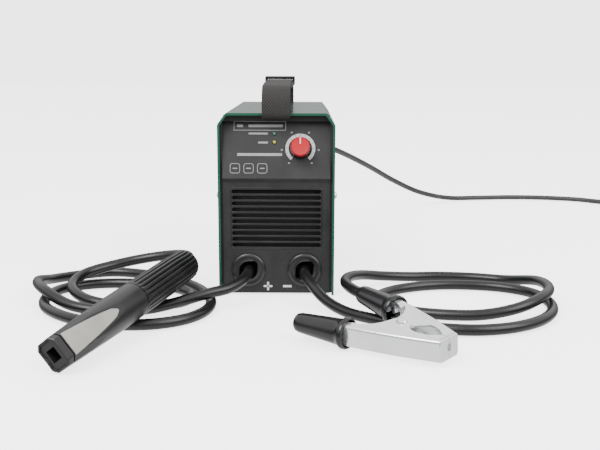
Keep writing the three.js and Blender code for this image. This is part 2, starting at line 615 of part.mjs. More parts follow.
function buildHolder() {
  const group = holderGroup();
  model.add(group);
  const leadBore = weldLead + 1.4;
  const headFrom = handleLength + fit;
  const headLength = holderLength - headFrom;

  // Head: round collar planed down to a flat-sided tip
  const round = [[0, headFrom], [holderRound, headFrom], [holderRound, headFrom + headLength * 0.5],
    [holderRound - 1, holderLength - 1.5], [holderRound - 2.5, holderLength], [0, holderLength]];
  const flatFrom = holderLength - platePlanLength - 12;
  const flank = (start, end) => {
    const far = 30;
    return [[flatFrom, start], [holderLength + 1, end], [holderLength + 1, far], [flatFrom, far]];
  };
  const plane = (outline) => alongZ(outline, -40, 40);
  const wideCut = plane(flank(holderRound, tipWide / 2));
  const thinCut = plane(flank(holderRound, tipThick / 2)).rotateX(Math.PI / 2);
  const mirror = (geometry) => geometry.clone().rotateX(Math.PI);
  let head = cut(turned('x', round, [0, 0, 0], 40), wideCut, mirror(wideCut), thinCut, mirror(thinCut));
  const slot = block(holderLength - electrodeSlotDeep, holderLength + 1, -electrodeSlotTall / 2, electrodeSlotTall / 2,
    -electrodeSlotWide / 2, electrodeSlotWide / 2);
  const cavity = bar('x', leadBore + 2, headFrom - 1, holderLength - electrodeSlotDeep - 22, [0, 0, 0], 20);
  const jawBay = block(holderLength - electrodeSlotDeep - 34, holderLength - electrodeSlotDeep + 0.5, -6, 6, -6, 6);
  const plateTilt = Math.atan2(holderRound - tipThick / 2, holderLength - flatFrom);
  const plateBed = (grow) => alongZ([[holderLength - platePlanLength - grow, -3 - grow],
    [holderLength - platePlanLength - grow, 3 + grow], [holderLength - 20, tipWide / 2 - 2.4 + grow],
    [holderLength - 3 + grow, tipWide / 2 - 2.6 + grow], [holderLength - 3 + grow, -tipWide / 2 + 2.6 - grow],
    [holderLength - 20, -tipWide / 2 + 2.4 - grow]], -plateSheet - grow, 4 * grow);
  const seatPlate = (geometry) => geometry.translate(-holderLength, 0, 0).rotateY(plateTilt)
    .translate(holderLength, 0, tipThick / 2);
  const topBed = seatPlate(plateBed(fit));
  head = cutFrom(head, slot, cavity, jawBay, topBed, mirror(topBed));
  node(group, 'holder_head', head, paint.blackMoulding());
  const topPlate = seatPlate(plateBed(0));
  node(group, 'holder_plate_upper', topPlate, paint.greyPlate());
  node(group, 'holder_plate_lower', mirror(topPlate), paint.greyPlate());

  // Brass jaw with an electrode groove, and the plunger that grips the electrode
  const jawTo = holderLength - electrodeSlotDeep - 0.2;
  const jaw = block(jawTo - 33, jawTo, -6 + fit, 6 - fit, -6 + fit, 6 - fit);
  const bore = bar('x', 8, jawTo - 24, jawTo + 1, [0, 0, 0], 20);
  node(group, 'holder_jaw', cut(jaw, bore), paint.brass());
  const plunger = [[0, 0], [3.6, 0], [3.6, 14], [2.4, 16], [0, 16]];
  node(group, 'holder_plunger', turned('x', plunger, [jawTo - 22, 0, 0], 20), paint.steel());

  // Fluted handle sleeve, free to turn round the lead
  const flutes = [];
  for (let i = 0; i < handleRibs; i++) {
    const flute = bar('x', 2 * ribDepth, 3, handleLength - 5, [0, 0, 0], 6);
    const angle = (i + 0.5) * 2 * Math.PI / handleRibs;
    flutes.push(flute.translate(0, holderRound * Math.cos(angle), holderRound * Math.sin(angle)));
  }
  const sleeve = [[leadBore / 2, 0], [handleEnd - 3, 0], [handleEnd, 3], [holderRound, handleLength * 0.5],
    [holderRound, handleLength], [leadBore / 2, handleLength], [leadBore / 2, 0]];
  node(group, 'holder_handle', cut(turned('x', sleeve, [0, 0, 0], 40), ...flutes), paint.blackMoulding());
  return group;
}

// ---- Ground clamp ----
// The clamp's own frame: origin at the pivot, +X towards the handles, +Z along the pivot.
// It lies on the front grip's flange and the tip, leaning so that the rear grip rides over the lead.
const clampPlace = [104.4, -160.7, 15.6]; // measured like the leads' routes
const clampTurn = [-7, -2.1, 133.4].map((angle) => angle * Math.PI / 180); // lean, pitch, heading
const gripStart = new THREE.Vector2(clampMouth - clampPivot, clampMouthHalf - gripSeat);
const gripEnd = new THREE.Vector2(clampLength - clampPivot, clampEndHalf);
const gripAim = gripEnd.clone().sub(gripStart).normalize();

// Inner edge of each cheek from the mouth to the tip: a lug round the rivet between two hollows
const cheekEdge = [[clampMouth - clampPivot, clampMouthHalf - 11], [19, 17], [12, 6], [8, -4], [4, -7], [-4, -7],
  [-8, -3], [-12, 3], [-20, 6.5], [-31, 5]];

function clampGroup() {
  const group = new THREE.Group();
  group.position.copy(fromFront(clampPlace));
  group.rotation.set(...clampTurn, 'ZYX');
  model.add(group);
  return group;
}

// Outline of one half seen along the pivot; side is +1 or -1, outer is the web's offset.
function jawOutline(inset) {
  const tip = -clampPivot;
  const webAtPivot = clampTipHalf + (clampMouthHalf - clampTipHalf) * 0.63;
  const mouth = clampMouth - clampPivot;
  return [[tip + inset, fit / 2], [tip + inset, clampTipHalf - inset], [0, webAtPivot - inset],
    [mouth, clampMouthHalf - inset],
    pastTang(inset, 0), [mouth + tang, clampMouthHalf - 9],
    ...cheekEdge, [-37, fit / 2]];
}

// Point on the web line carried on past the end of the tang.
function pastTang(inset, extra) {
  const run = tang + extra;
  return [clampMouth - clampPivot + run * gripAim.x, clampMouthHalf + run * gripAim.y - inset];
}

function buildHalf(group, label, side) {
  const inner = jawOutline(clampSheet);
  const channel = alongZ(jawOutline(0), -clampTall / 2, clampTall / 2);
  const innerHalf = side > 0 ? clampTall / 2 - clampSheet : clampTall / 2 - 2 * clampSheet - fit;
  const hollow = alongZ([[inner[0][0], -20], ...inner.slice(1, 4), pastTang(clampSheet, 2), [inner[4][0] + 2, -20]],
    -innerHalf, innerHalf);
  const pin = bar('z', rivetSize + 2 * fit, -20, 20, [0, 0, 0], 16);
  const grab = bar('x', 5, -clampPivot - 2, -clampPivot + 3, [0, 0, 0], 6);
  let jaw = cut(channel, hollow, pin, grab);
  // The rear half's cheeks sit inside the front half's round the pivot
  const stepHalf = clampTall / 2 - clampSheet - fit;
  const steps = [block(-16, 21, -13, 11, stepHalf, 20), block(-16, 21, -13, 11, -20, -stepHalf)];
  if (side < 0) jaw = cutFrom(jaw, ...steps, placeOnGrip(bar('y', boltSize + 2 * fit, 0, 12, [boltAt, 0, 0], 12)));
  node(group, `clamp_${label}_jaw`, turnOver(jaw, side), paint.steel());

  // Grip: tapered sleeve with a flanged mouth
  const length = gripEnd.distanceTo(gripStart);
  const profile = [[0, 0], [gripRound, 0], [gripRound, 5], [gripRound * 0.8, 6], [gripRound * 0.68, length - 3],
    [gripRound * 0.5, length], [0, length]];
  let grip = toSolid(turned('x', profile, [0, 0, 0], 28));
  const grown = jawOutline(-fit);
  const room = alongZ([[-30, -20], ...grown.slice(1, 4), pastTang(-fit, 2), [grown[4][0] + 2, -2], [8, -20]],
    -clampTall / 2 - fit, clampTall / 2 + fit);
  const leadHole = placeOnGrip(bar('x', weldLead + 1.2, -1, length + 1, [0, 0, 0], 20));
  grip = toSolid(placeOnGrip(toGeometry(grip)));
  grip = side < 0 ? cutFrom(grip, room, leadHole) : cutFrom(grip, room);
  node(group, `clamp_${label}_grip`, turnOver(grip, side), paint.glossBlack());
}

// A piece made along the grip's axis, with +Y away from the other half, moved to its place.
function placeOnGrip(geometry) {
  return geometry.rotateZ(gripAim.angle()).translate(gripStart.x, gripStart.y, 0);
}

// The rear half is the front half's shape turned over about the clamp's length.
function turnOver(solid, side) {
  return side < 0 ? toSolid(toGeometry(solid).rotateX(Math.PI)) : solid;
}

function buildClamp() {
  const group = clampGroup();
  const innerTall = clampTall - 2 * clampSheet - 2 * fit;
  buildHalf(group, 'front', 1);
  buildHalf(group, 'rear', -1);

  // Lug crimped on the lead's end and bolted to the web of the rear half
  const webIn = gripSeat * gripAim.x - clampSheet;
  const tongueTop = webIn - fit;
  const tongueLow = tongueTop - 1.6;
  const hole = bar('y', boltSize + 2 * fit, 0, 12, [boltAt, 0, 0], 12);
  const lug = cut(block(boltAt - 5, 14, tongueLow, tongueTop, -4.4, 4.4), hole);
  const barrel = turned('x', [[0, 10.5], [4.4, 10.5], [4.4, 19.5], [0, 19.5]], [0, 0, 0], 20);
  node(group, 'clamp_lug', turnOver(toSolid(placeOnGrip(toGeometry(joinTo(lug, barrel)))), -1), paint.brass());
  const headTop = tongueLow - fit;
  const bolt = [[0, headTop - 3.4], [3.3, headTop - 3.4], [3.8, headTop - 2.6], [3.8, headTop], [boltSize / 2, headTop],
    [boltSize / 2, webIn + clampSheet], [0, webIn + clampSheet]];
  node(group, 'clamp_bolt', turnOver(toSolid(placeOnGrip(turned('y', bolt, [boltAt, 0, 0], 6))), -1), paint.steel());
  const reach = clampTall / 2 + fit;
  const shank = rivetSize / 2;
  const rivet = [[0, -reach - 1.6], [4, -reach - 1.6], [4.6, -reach], [shank, -reach], [shank, reach],
    [4.6, reach], [4, reach + 1.6], [0, reach + 1.6]];
  node(group, 'clamp_rivet', turned('z', rivet, [0, 0, 0], 20), paint.steel());

  // Torsion spring round the rivet, as its outer sleeve
  const sleeve = innerTall / 2 - clampSheet - fit;
  const spring = [[shank + fit, -sleeve], [4.6, -sleeve], [4.6, sleeve], [shank + fit, sleeve], [shank + fit, -sleeve]];
  node(group, 'clamp_spring', turned('z', spring, [0, 0, 0], 20), paint.steel());
  return group;
}

// ---- Leads: each route is a chain of points, measured back from the front of the case ----
const leadRest = weldLead / 2 + 0.3; // height of a lead's centre on the floor
const electrodeRoute = [
  [-27.3, 14, 25], [-27.3, 0, 25], [-27.6, -12, 24.6], [-32, -27, 21.5], [-44, -42, 18], [-60, -52, 16.4],
  [-82, -61, 12], [-112, -69, 6.5], [-148, -72, leadRest], [-184, -64, 8], [-212, -44, 16], [-229, -12, 16.4],
  [-227, 25, 9], [-208, 56, leadRest], [-177, 70, leadRest], [-142, 62, leadRest], [-109, 42, leadRest],
  [-83, 15, leadRest], [-66, -16, leadRest], [-59, -46, leadRest], [-62, -73, leadRest], [-75, -95, leadRest],
  [-97, -109, leadRest], [-125, -113, leadRest], [-156, -106, leadRest], [-187, -86, leadRest],
  [-209, -58, leadRest], [-216, -26, leadRest], [-208, 4, leadRest], [-184, 20, leadRest],
  [-152, 24, leadRest], [-120, 17, leadRest], [-94, 2, leadRest], [-80, -20, leadRest],
  [-86, -42, leadRest], [-110, -54, leadRest], [-146, -55, 5.6], [-176, -45, 9], [-194, -20, 14],
  [-190, 8, 18.5], [-164, 30, 23], [-128, 38, 29], [-100, 29, 34], [-86, 6, 37.2],
];
const earthRoute = [
  [27.3, 14, 25], [27.3, 0, 25], [27.8, -13, 24.5], [34, -29, 19], [46, -48, 10], [63, -70, 5.4],
  [86, -92, leadRest], [112, -108, leadRest], [141, -119, leadRest], [172, -123, leadRest],
  [204, -115, leadRest], [233, -94, leadRest], [251, -64, leadRest], [255, -33, leadRest],
  [246, -4, leadRest], [224, 14, leadRest], [196, 22, leadRest], [165, 23, leadRest], [136, 15, leadRest],
  [110, -2, leadRest], [96, -25, leadRest], [99, -50, leadRest], [119, -68, leadRest], [150, -79, leadRest],
  [184, -84, 6.8], [216, -80, 12], [242, -60, 16.6], [257, -28, 16.6], [255, 8, 14], [232, 40, 6.5],
  [201, 54, leadRest], [168, 58, leadRest], [136, 54, 5.8], [107, 42, 9.5], [85, 24, 15], [70.5, -2, 19.5],
  [65.5, -30, 22], [69.5, -58, 23.3],
];
const mainsRest = mainsLead / 2 + 0.4;
const mainsRoute = [
  [36, 290, 122.5], [50, 318, 117], [80, 365, 101], [120, 425, 76], [165, 485, 46], [212, 535, 21],
  [262, 570, 7], [315, 590, mainsRest], [370, 597, mainsRest], [425, 592, mainsRest], [475, 575, mainsRest],
  [507, 551, mainsRest], [536, 529.2, mainsRest],
];


function lead(name, points, diameter, material) {
  const curve = new THREE.CatmullRomCurve3(points, false, 'centripetal');
  const steps = Math.min(80, Math.round(curve.getLength() / (2.2 * diameter)));
  const section = new THREE.Shape();
  const sides = 8;
  for (let i = 0; i < sides; i++) {
    const angle = (i + 0.5) * 2 * Math.PI / sides;
    const x = diameter / 2 * Math.cos(angle);
    const y = diameter / 2 * Math.sin(angle);
    if (i) section.lineTo(x, y);
    else section.moveTo(x, y);
  }
  section.closePath();
  const tube = new THREE.ExtrudeGeometry(section, { steps, extrudePath: curve, bevelEnabled: false });
  node(model, name, tube, material);
}

function buildLeads(holder, clamp) {
  model.updateMatrixWorld(true);
  const inHolder = [0, 14, 30, 50, 70, 90].map((x) => holder.localToWorld(new THREE.Vector3(x, 0, 0)));
  lead('electrode_lead', [...electrodeRoute.map(fromFront), ...inHolder], weldLead, paint.rubber());
  const inGrip = [2, -8, -18, -29].map((step) =>
    clamp.localToWorld(new THREE.Vector3(gripEnd.x + step * gripAim.x, -gripEnd.y - step * gripAim.y, 0)));
  lead('earth_lead', [...earthRoute.map(fromFront), ...inGrip], weldLead, paint.rubber());

  const entry = [-14, 0, reliefLength * 0.6, reliefLength, reliefLength + 4].map((y) =>
    new THREE.Vector3(glandX, rearFaceY + y, glandZ));
  lead('mains_lead', [...entry, ...mainsRoute.map(fromFront)], mainsLead, paint.rubber());
}

// ---- Spare mains lead wound in a coil, its tie, and the plug ----
function buildCoil() {
  const group = new THREE.Group();
  group.position.copy(fromFront([coilX, coilBack, coilLift]));
  model.add(group);
  const easing = 2.5;
  const ring = [[coilInner + easing, 0], [coilOuter - easing, 0], [coilOuter, easing],
    [coilOuter, coilHeight - easing], [coilOuter - easing, coilHeight], [coilInner + easing, coilHeight],
    [coilInner, coilHeight - easing], [coilInner, easing], [coilInner + easing, 0]];
  node(group, 'mains_coil', turned('z', ring, [0, 0, 0], 40), paint.rubber());
  const room = 0.6;
  const tieIn = block(coilInner - room, coilOuter + room, -6, 6, -fit, coilHeight + fit);
  const tieOut = block(coilInner - room - tieSheet, coilOuter + room + tieSheet, -5, 5, -fit - tieSheet,
    coilHeight + fit + tieSheet);
  node(group, 'coil_tie', toSolid(tieOut.rotateZ(1)).subtract(toSolid(tieIn.rotateZ(1))), paint.glossBlack());

  // Plug lying beside the coil, its tail against the last turn
  const plug = new THREE.Group();
  plug.position.set(coilOuter + plugTail + fit, 0, plugRound - coilLift + 0.2);
  plug.rotation.z = Math.PI;
  group.add(plug);
  const body = [[0, -plugLength], [plugRound - 2, -plugLength], [plugRound, -plugLength + 3], [plugRound, -33],
    [plugTail, -23], [plugTail, 0], [0, 0]];
  const sockets = [-1, 1].map((side) =>
    bar('y', pinSize + 2 * fit, -plugLength - 1, -plugLength + 8, [side * pinSpread / 2, 0, 0], 12));
  node(plug, 'mains_plug', cut(turned('y', body, [0, 0, 0], 28), ...sockets), paint.rubber());
  for (const [name, side] of [['plug_pin_left', -1], ['plug_pin_right', 1]]) {
    const tip = -plugLength - pinReach;
    const pin = [[0, tip], [pinSize / 2 - 0.8, tip], [pinSize / 2, tip + 1.5], [pinSize / 2, -plugLength + 7],
      [0, -plugLength + 7]];
    node(plug, name, turned('y', pin, [side * pinSpread / 2, 0, 0], 16), paint.steel());
  }
}

const screwHoles = buildCase();
buildFrontPanel(screwHoles);
buildRearPanel(screwHoles);
buildInside();
buildStrap();
buildLeads(buildHolder(), buildClamp());
buildCoil();

export default model;
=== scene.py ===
import math
import bpy
import numpy as np
from mathutils import Matrix


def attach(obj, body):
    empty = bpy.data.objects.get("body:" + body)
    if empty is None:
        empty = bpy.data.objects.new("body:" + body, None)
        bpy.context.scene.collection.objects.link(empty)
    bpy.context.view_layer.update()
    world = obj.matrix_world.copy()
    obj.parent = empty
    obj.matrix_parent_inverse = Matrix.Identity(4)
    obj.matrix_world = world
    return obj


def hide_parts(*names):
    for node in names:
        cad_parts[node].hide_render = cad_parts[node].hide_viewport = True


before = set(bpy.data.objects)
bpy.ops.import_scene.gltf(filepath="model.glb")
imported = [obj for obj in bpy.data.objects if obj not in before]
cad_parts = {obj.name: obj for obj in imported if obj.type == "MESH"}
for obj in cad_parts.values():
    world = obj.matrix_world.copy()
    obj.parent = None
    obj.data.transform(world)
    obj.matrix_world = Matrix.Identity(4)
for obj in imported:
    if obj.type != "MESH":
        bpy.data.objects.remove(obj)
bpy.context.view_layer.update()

# Shapes are built in millimetres in the case's frame, and are scaled to metres when a piece is added.
frontY = -117.5
rearY = 117.5
turn = 2 * math.pi


def fromFront(points):
    return np.array(points, float) + [0, frontY, 0]


# Camera
camera = {"place": (0.0268, -0.919, 0.2243), "down": 10.88, "left": 0.29, "roll": 0.18, "lens": 50.9,
          "sensor": 36.0, "near": 0.02}
eye = bpy.data.objects.new("camera", bpy.data.cameras.new("camera"))
eye.data.lens, eye.data.sensor_width = camera["lens"], camera["sensor"]
eye.data.clip_start = camera["near"]
eye.matrix_world = (Matrix.Translation(camera["place"])
                    @ Matrix.Rotation(math.radians(camera["left"]), 4, "Z")
                    @ Matrix.Rotation(math.radians(90 - camera["down"]), 4, "X")
                    @ Matrix.Rotation(math.radians(camera["roll"]), 4, "Z"))
bpy.context.scene.collection.objects.link(eye)
bpy.context.scene.camera = eye
print("camera done")


# Materials
# A shader socket that can be added, multiplied and so on, so that a pattern reads as a sum.
class Signal:
    def __init__(self, paint, socket):
        self.paint, self.socket = paint, socket

    def calc(self, operation, *values):
        return self.paint.node("ShaderNodeMath", {"operation": operation}, values)

    def sine(self):
        return self.calc("SINE", self)

    def clamped(self, low, high):
        return self.calc("MINIMUM", self.calc("MAXIMUM", self, low), high)

    def step(self, edge, width):
        return ((self - edge) * (1 / width)).clamped(0, 1)


for sign, operation in (("add", "ADD"), ("sub", "SUBTRACT"), ("mul", "MULTIPLY")):
    setattr(Signal, f"__{sign}__", lambda self, other, kind=operation: self.calc(kind, self, other))
    setattr(Signal, f"__r{sign}__", lambda self, other, kind=operation: self.calc(kind, other, self))


class Paint:
    def __init__(self, name, color, roughness, metallic=0.0, **constants):
        self.material = bpy.data.materials.new(name)
        self.material.use_nodes = True
        self.tree = self.material.node_tree
        self.shader = self.tree.nodes["Principled BSDF"]
        self.shader.inputs["Base Color"].default_value = (*color, 1)
        self.shader.inputs["Roughness"].default_value = roughness
        self.shader.inputs["Metallic"].default_value = metallic
        for socket, value in constants.items():
            self.shader.inputs[socket].default_value = value
        self.material.diffuse_color = (*color, 1)

    def node(self, kind, settings, sockets, output=0):
        made = self.tree.nodes.new(kind)
        for key, value in settings.items():
            setattr(made, key, value)
        for key, value in (sockets.items() if isinstance(sockets, dict) else enumerate(sockets)):
            self.feed(made.inputs[key], value)
        return Signal(self, made.outputs[output])

    def feed(self, socket, value):
        if isinstance(value, Signal):
            self.tree.links.new(value.socket, socket)
        else:
            socket.default_value = value

    def place(self, kind="Object"):
        return self.node("ShaderNodeTexCoord", {}, {}, kind)

    def noise(self, scale, detail=3.0, roughness=0.55, at=None, stretch=None):
        spot = at or self.place()
        if stretch:
            spot = self.node("ShaderNodeMapping", {}, {"Vector": spot, "Scale": stretch})
        return self.node("ShaderNodeTexNoise", {}, {"Vector": spot, "Scale": scale, "Detail": detail,
                                                    "Roughness": roughness})

    def axes(self, kind="Object"):
        parts = self.node("ShaderNodeSeparateXYZ", {}, [self.place(kind)])
        return [Signal(self, output) for output in parts.socket.node.outputs]

    def blend(self, factor, first, second):
        settings = {"data_type": "RGBA"}
        return self.node("ShaderNodeMix", settings, {0: factor, 6: (*first, 1), 7: (*second, 1)}, 2)

    def color(self, factor, first, second):
        self.feed(self.shader.inputs["Base Color"], self.blend(factor, first, second))
        return self

    def rough(self, signal):
        self.feed(self.shader.inputs["Roughness"], signal)
        return self

    def bump(self, height, strength, distance):
        sockets = {"Height": height, "Strength": strength, "Distance": distance}
        normal = self.node("ShaderNodeBump", {}, sockets)
        self.feed(self.shader.inputs["Normal"], normal)
        return self


# Moulded plastic: a fine grain, with slow changes in tone and gloss.
def moulded(name, color, roughness, grain=0.35, scale=2600, lift=1.5, **constants):
    paint = Paint(name, color, roughness, **constants)
    slow = paint.noise(38, 3)
    fine = paint.noise(scale, 2)
    paint.color(slow.step(0.3, 0.4), [c * 0.82 for c in color], [min(1, c * lift) for c in color])
    paint.rough(roughness - 0.06 + slow * 0.12)
    return paint.bump(fine, grain, 0.00012)


def painted(name, color, roughness, **constants):
    paint = Paint(name, color, roughness, **constants)
    peel = paint.noise(900, 2, 0.4)
    slow = paint.noise(14, 3)
    paint.color(slow.step(0.3, 0.4), [c * 0.9 for c in color], [c * 1.12 for c in color])
    paint.rough(roughness - 0.04 + slow * 0.1)
    return paint.bump(peel, 0.22, 0.0002)


def metal(name, color, roughness, brushed=None, scratch=0.2, metallic=1.0, kind="Object"):
    paint = Paint(name, color, roughness, metallic)
    lines = paint.noise(260, 4, 0.6, paint.place(kind), brushed or (1, 1, 1))
    slow = paint.noise(30, 2)
    paint.color(slow.step(0.3, 0.4), [c * 0.9 for c in color], color)
    paint.rough(roughness - 0.05 + lines * 0.14)
    return paint.bump(lines, scratch, 0.00008)


# Webbing: across and along are in metres on the strap, ribs run across and yarns make small diamonds.
def webbing(name, dark, light, pitch, lengthPitch):
    paint = Paint(name, dark, 0.85)
    across, along, _ = paint.axes("UV")
    across, along = across * (turn / pitch), along * (turn / lengthPitch)
    diamond = (across.sine() * along.sine()) * 0.5 + 0.5
    yarn = ((across * 3 + along).sine() * (across * 3 - along).sine()) * 0.5 + 0.5
    weave = diamond * 0.65 + yarn * 0.35
    fuzz = paint.noise(1800, 3)
    paint.color((weave * 0.8 + fuzz * 0.3).step(0.25, 0.6), dark, light)
    paint.rough(0.78 + fuzz * 0.15)
    return paint.bump(weave + fuzz * 0.25, 0.7, 0.0005)


paints = {
    "green": painted("green_powder_coat", (0.003, 0.082, 0.044), 0.26,
                     **{"Coat Weight": 1.0, "Coat Roughness": 0.16}),
    "panel": moulded("grained_panel", (0.014, 0.014, 0.0145), 0.42),
    "dark": moulded("holder_moulding", (0.009, 0.009, 0.0095), 0.32, 0.5, 1800),
    "gloss": moulded("gloss_black", (0.008, 0.008, 0.009), 0.16, 0.1, 900),
    "outlet": moulded("outlet_moulding", (0.016, 0.016, 0.017), 0.24, 0.15, 1500),
    "vinyl": moulded("grip_vinyl", (0.010, 0.010, 0.011), 0.2, 0.12, 500),
    # Black for the printed ticks and the fan frame, and also painted shade: dark pieces in recesses, gaps and
    # behind the louvres.
    "blackAndShade": moulded("black_and_painted_shade", (0.006, 0.006, 0.006), 0.7),
    "sheath": moulded("lead_sheath", (0.006, 0.0058, 0.006), 0.3, 0.3, 1500),
    "mainsSheath": moulded("mains_sheath", (0.030, 0.028, 0.029), 0.42, 0.3, 1500),
    "rubber": moulded("soft_rubber", (0.018, 0.018, 0.018), 0.6, 0.4, 1500),
    "red": moulded("red_knob", (0.50, 0.003, 0.012), 0.36, 0.15, 1200, 1.05),
    "rockerRed": moulded("red_rocker", (0.55, 0.02, 0.02), 0.25, 0.1, 1200, 1.1),
    "silver": moulded("scale_print", (0.62, 0.62, 0.62), 0.4, 0.1, 1200, 1.1),
    "print": moulded("soft_white_print", (0.36, 0.36, 0.36), 0.5, 0.1, 1200, 1.05),
    "white": moulded("white_print", (0.80, 0.80, 0.80), 0.5, 0.1, 1200, 1.05),
    "plate": moulded("grey_insert", (0.33, 0.32, 0.295), 0.55, 0.6, 1400, 1.12),
    "chrome": metal("bright_plating", (0.98, 0.99, 1.0), 0.15, (1, 0.05, 1), 0.7, 0.8, "UV"),
    "zinc": metal("zinc_sheet", (0.62, 0.64, 0.64), 0.36, (1, 8, 1)),
    "brass": metal("brass", (0.76, 0.55, 0.24), 0.3),
    "aluminium": metal("extruded_aluminium", (0.72, 0.73, 0.74), 0.38, (8, 1, 1)),
    "copper": metal("enamelled_copper", (0.68, 0.30, 0.13), 0.35, (1, 1, 30), 0.8),
    "ferrite": moulded("ferrite", (0.05, 0.05, 0.052), 0.55, 0.6, 900),
    "sleeve": moulded("capacitor_sleeve", (0.02, 0.03, 0.07), 0.25, 0.1),
    "board": moulded("solder_mask", (0.015, 0.13, 0.045), 0.35, 0.3, 600),
    "greenLens": moulded("green_lens", (0.10, 0.24, 0.19), 0.12, 0.05, 600, 1.2),
    "yellowLens": moulded("yellow_lens", (0.42, 0.42, 0.06), 0.12, 0.05, 600, 1.2),
    "webbing": webbing("strap_webbing", (0.005, 0.0048, 0.0046), (0.040, 0.036, 0.034), 0.0030,
                       0.0034),
}
print("materials done")


# Shape tools
# Quads join each outline to the next, and the first and last outlines are closed with one face each.
# UV holds the distance round and along the surface, in metres.
def skin(rings, wrap=False):
    rings = np.asarray(rings, float)
    rows, columns = rings.shape[:2]
    closed = np.concatenate([rings, rings[:, :1]], 1)
    stacked = np.concatenate([closed, closed[:1]], 0) if wrap else closed
    u = np.cumsum(np.linalg.norm(np.diff(stacked, axis=1, prepend=stacked[:, :1]), axis=2), 1)
    v = np.cumsum(np.linalg.norm(np.diff(stacked, axis=0, prepend=stacked[:1]), axis=2), 0)
    uv = np.stack([u, v], -1) * 0.001
    index = np.arange(rows * columns).reshape(rows, columns)
    index = np.concatenate([index, index[:, :1]], 1)
    if wrap:
        index = np.concatenate([index, index[:1]], 0)
    here, following = slice(0, -1), slice(1, None)
    corners = [(here, here), (here, following), (following, following), (following, here)]
    quads = np.stack([index[c] for c in corners], -1).reshape(-1, 4)
    quadUv = np.stack([uv[c] for c in corners], -2).reshape(-1, 4, 2)
    faces, faceUv = [quads], [quadUv]
    if not wrap:
        faces += [index[:1, -2::-1], index[-1:, :-1]]
        faceUv += [np.zeros((1, columns, 2))] * 2
    points = rings.reshape(-1, 3)
    a, b, c, d = (points[quads[:, i]] for i in range(4))
    volume = (a * np.cross(b, c)).sum() + (a * np.cross(c, d)).sum()
    for face in faces[1:]:
        fan = points[face[0]]
        volume += (fan[:1] * np.cross(fan[1:-1], fan[2:])).sum()
    if volume < 0:
        faces, faceUv = [f[:, ::-1] for f in faces], [f[:, ::-1] for f in faceUv]
    return points, faces, faceUv


# Several closed shapes as one.
def gather(*shapes):
    points, faces, faceUv, start = [], [], [], 0
    for shapePoints, shapeFaces, shapeUv in shapes:
        points.append(shapePoints)
        faces += [f + start for f in shapeFaces]
        faceUv += shapeUv
        start += len(shapePoints)
    return np.concatenate(points), faces, faceUv


def moved(shape, matrix):
    points, faces, faceUv = shape
    matrix = np.asarray(matrix, float)
    return points @ matrix[:3, :3].T + matrix[:3, 3], faces, faceUv


# Frame with its Z and X directions given, at an origin.
def frameAt(origin, zAxis, xAxis):
    z = np.array(zAxis, float) / np.linalg.norm(zAxis)
    x = np.array(xAxis, float) - z * np.dot(xAxis, z)
    x /= np.linalg.norm(x)
    matrix = np.eye(4)
    matrix[:3, 0], matrix[:3, 1], matrix[:3, 2], matrix[:3, 3] = x, np.cross(z, x), z, origin
    return matrix


def addPiece(name, shape, paint, replaces=(), body="root", sharp=38, bevel=0):
    points, faces, faceUv = shape
    mesh = bpy.data.meshes.new(name)
    loops = np.concatenate([f.reshape(-1) for f in faces])
    totals = np.concatenate([np.full(len(f), f.shape[1]) for f in faces])
    mesh.vertices.add(len(points))
    mesh.vertices.foreach_set("co", (points * 0.001).astype(np.float32).reshape(-1))
    mesh.loops.add(len(loops))
    mesh.loops.foreach_set("vertex_index", loops.astype(np.int32))
    mesh.polygons.add(len(totals))
    starts = np.concatenate([[0], np.cumsum(totals)[:-1]])
    mesh.polygons.foreach_set("loop_start", starts.astype(np.int32))
    mesh.uv_layers.new(name="surface")
    mesh.update(calc_edges=True)
    mesh.validate()
    flat = np.concatenate([f.reshape(-1, 2) for f in faceUv])
    if len(mesh.loops) == len(flat):
        mesh.uv_layers[0].data.foreach_set("uv", flat.astype(np.float32).reshape(-1))
    mesh.shade_smooth()
    mesh.set_sharp_from_angle(angle=math.radians(sharp))
    mesh.materials.append(paints[paint].material)
    made = bpy.data.objects.new(name, mesh)
    bpy.context.scene.collection.objects.link(made)
    if bevel:
        edge = made.modifiers.new("edges", "BEVEL")
        edge.width, edge.segments, edge.limit_method = bevel * 0.001, 2, "ANGLE"
        edge.angle_limit = math.radians(40)
        edge.harden_normals = False
    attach(made, body)
    if replaces:
        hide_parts(*([replaces] if isinstance(replaces, str) else replaces))
    return made


def circle(radius, count=48):
    angle = np.arange(count) * turn / count
    return np.stack([radius * np.cos(angle), radius * np.sin(angle)], -1)


# Rounded rectangle about its centre.
def softBox(width, height, radius, steps=5):
    angle = np.linspace(0, math.pi / 2, steps)
    arc = np.stack([np.cos(angle), np.sin(angle)], -1) * radius
    x, y = width / 2 - radius, height / 2 - radius
    turns = [(1, 1), (-1, 1), (-1, -1), (1, -1)]
    corners = []
    for i, (sx, sy) in enumerate(turns):
        part = arc * [sx, sy] + [sx * x, sy * y]
        corners.append(part if i % 2 == 0 else part[::-1])
    return np.concatenate(corners)


# Outline with every corner rounded by an arc that keeps its distance from the corner.
def eased(corners, radius, steps=4):
    corners = np.array(corners, float)
    radii = np.broadcast_to(radius, len(corners))
    before, after = np.roll(corners, 1, 0) - corners, np.roll(corners, -1, 0) - corners
    before /= np.linalg.norm(before, axis=1)[:, None]
    after /= np.linalg.norm(after, axis=1)[:, None]
    t = np.linspace(0, 1, steps)[None, :, None]
    start, end = corners + before * radii[:, None], corners + after * radii[:, None]
    curve = (1 - t) ** 2 * start[:, None] + 2 * t * (1 - t) * corners[:, None] + t ** 2 * end[:, None]
    return curve.reshape(-1, 2)


# Outline in XY lifted through heights, with an inset at each height to soften the ends.
def prism(outline, heights, insets=None):
    outline = np.asarray(outline, float)
    centre = outline.mean(0)
    span = np.abs(outline - centre).max(0)
    rings = []
    for i, height in enumerate(heights):
        shrink = 1 - (insets[i] if insets else 0) / span
        shrunk = (outline - centre) * shrink + centre
        rings.append(np.column_stack([shrunk, np.full(len(outline), height)]))
    return skin(rings)


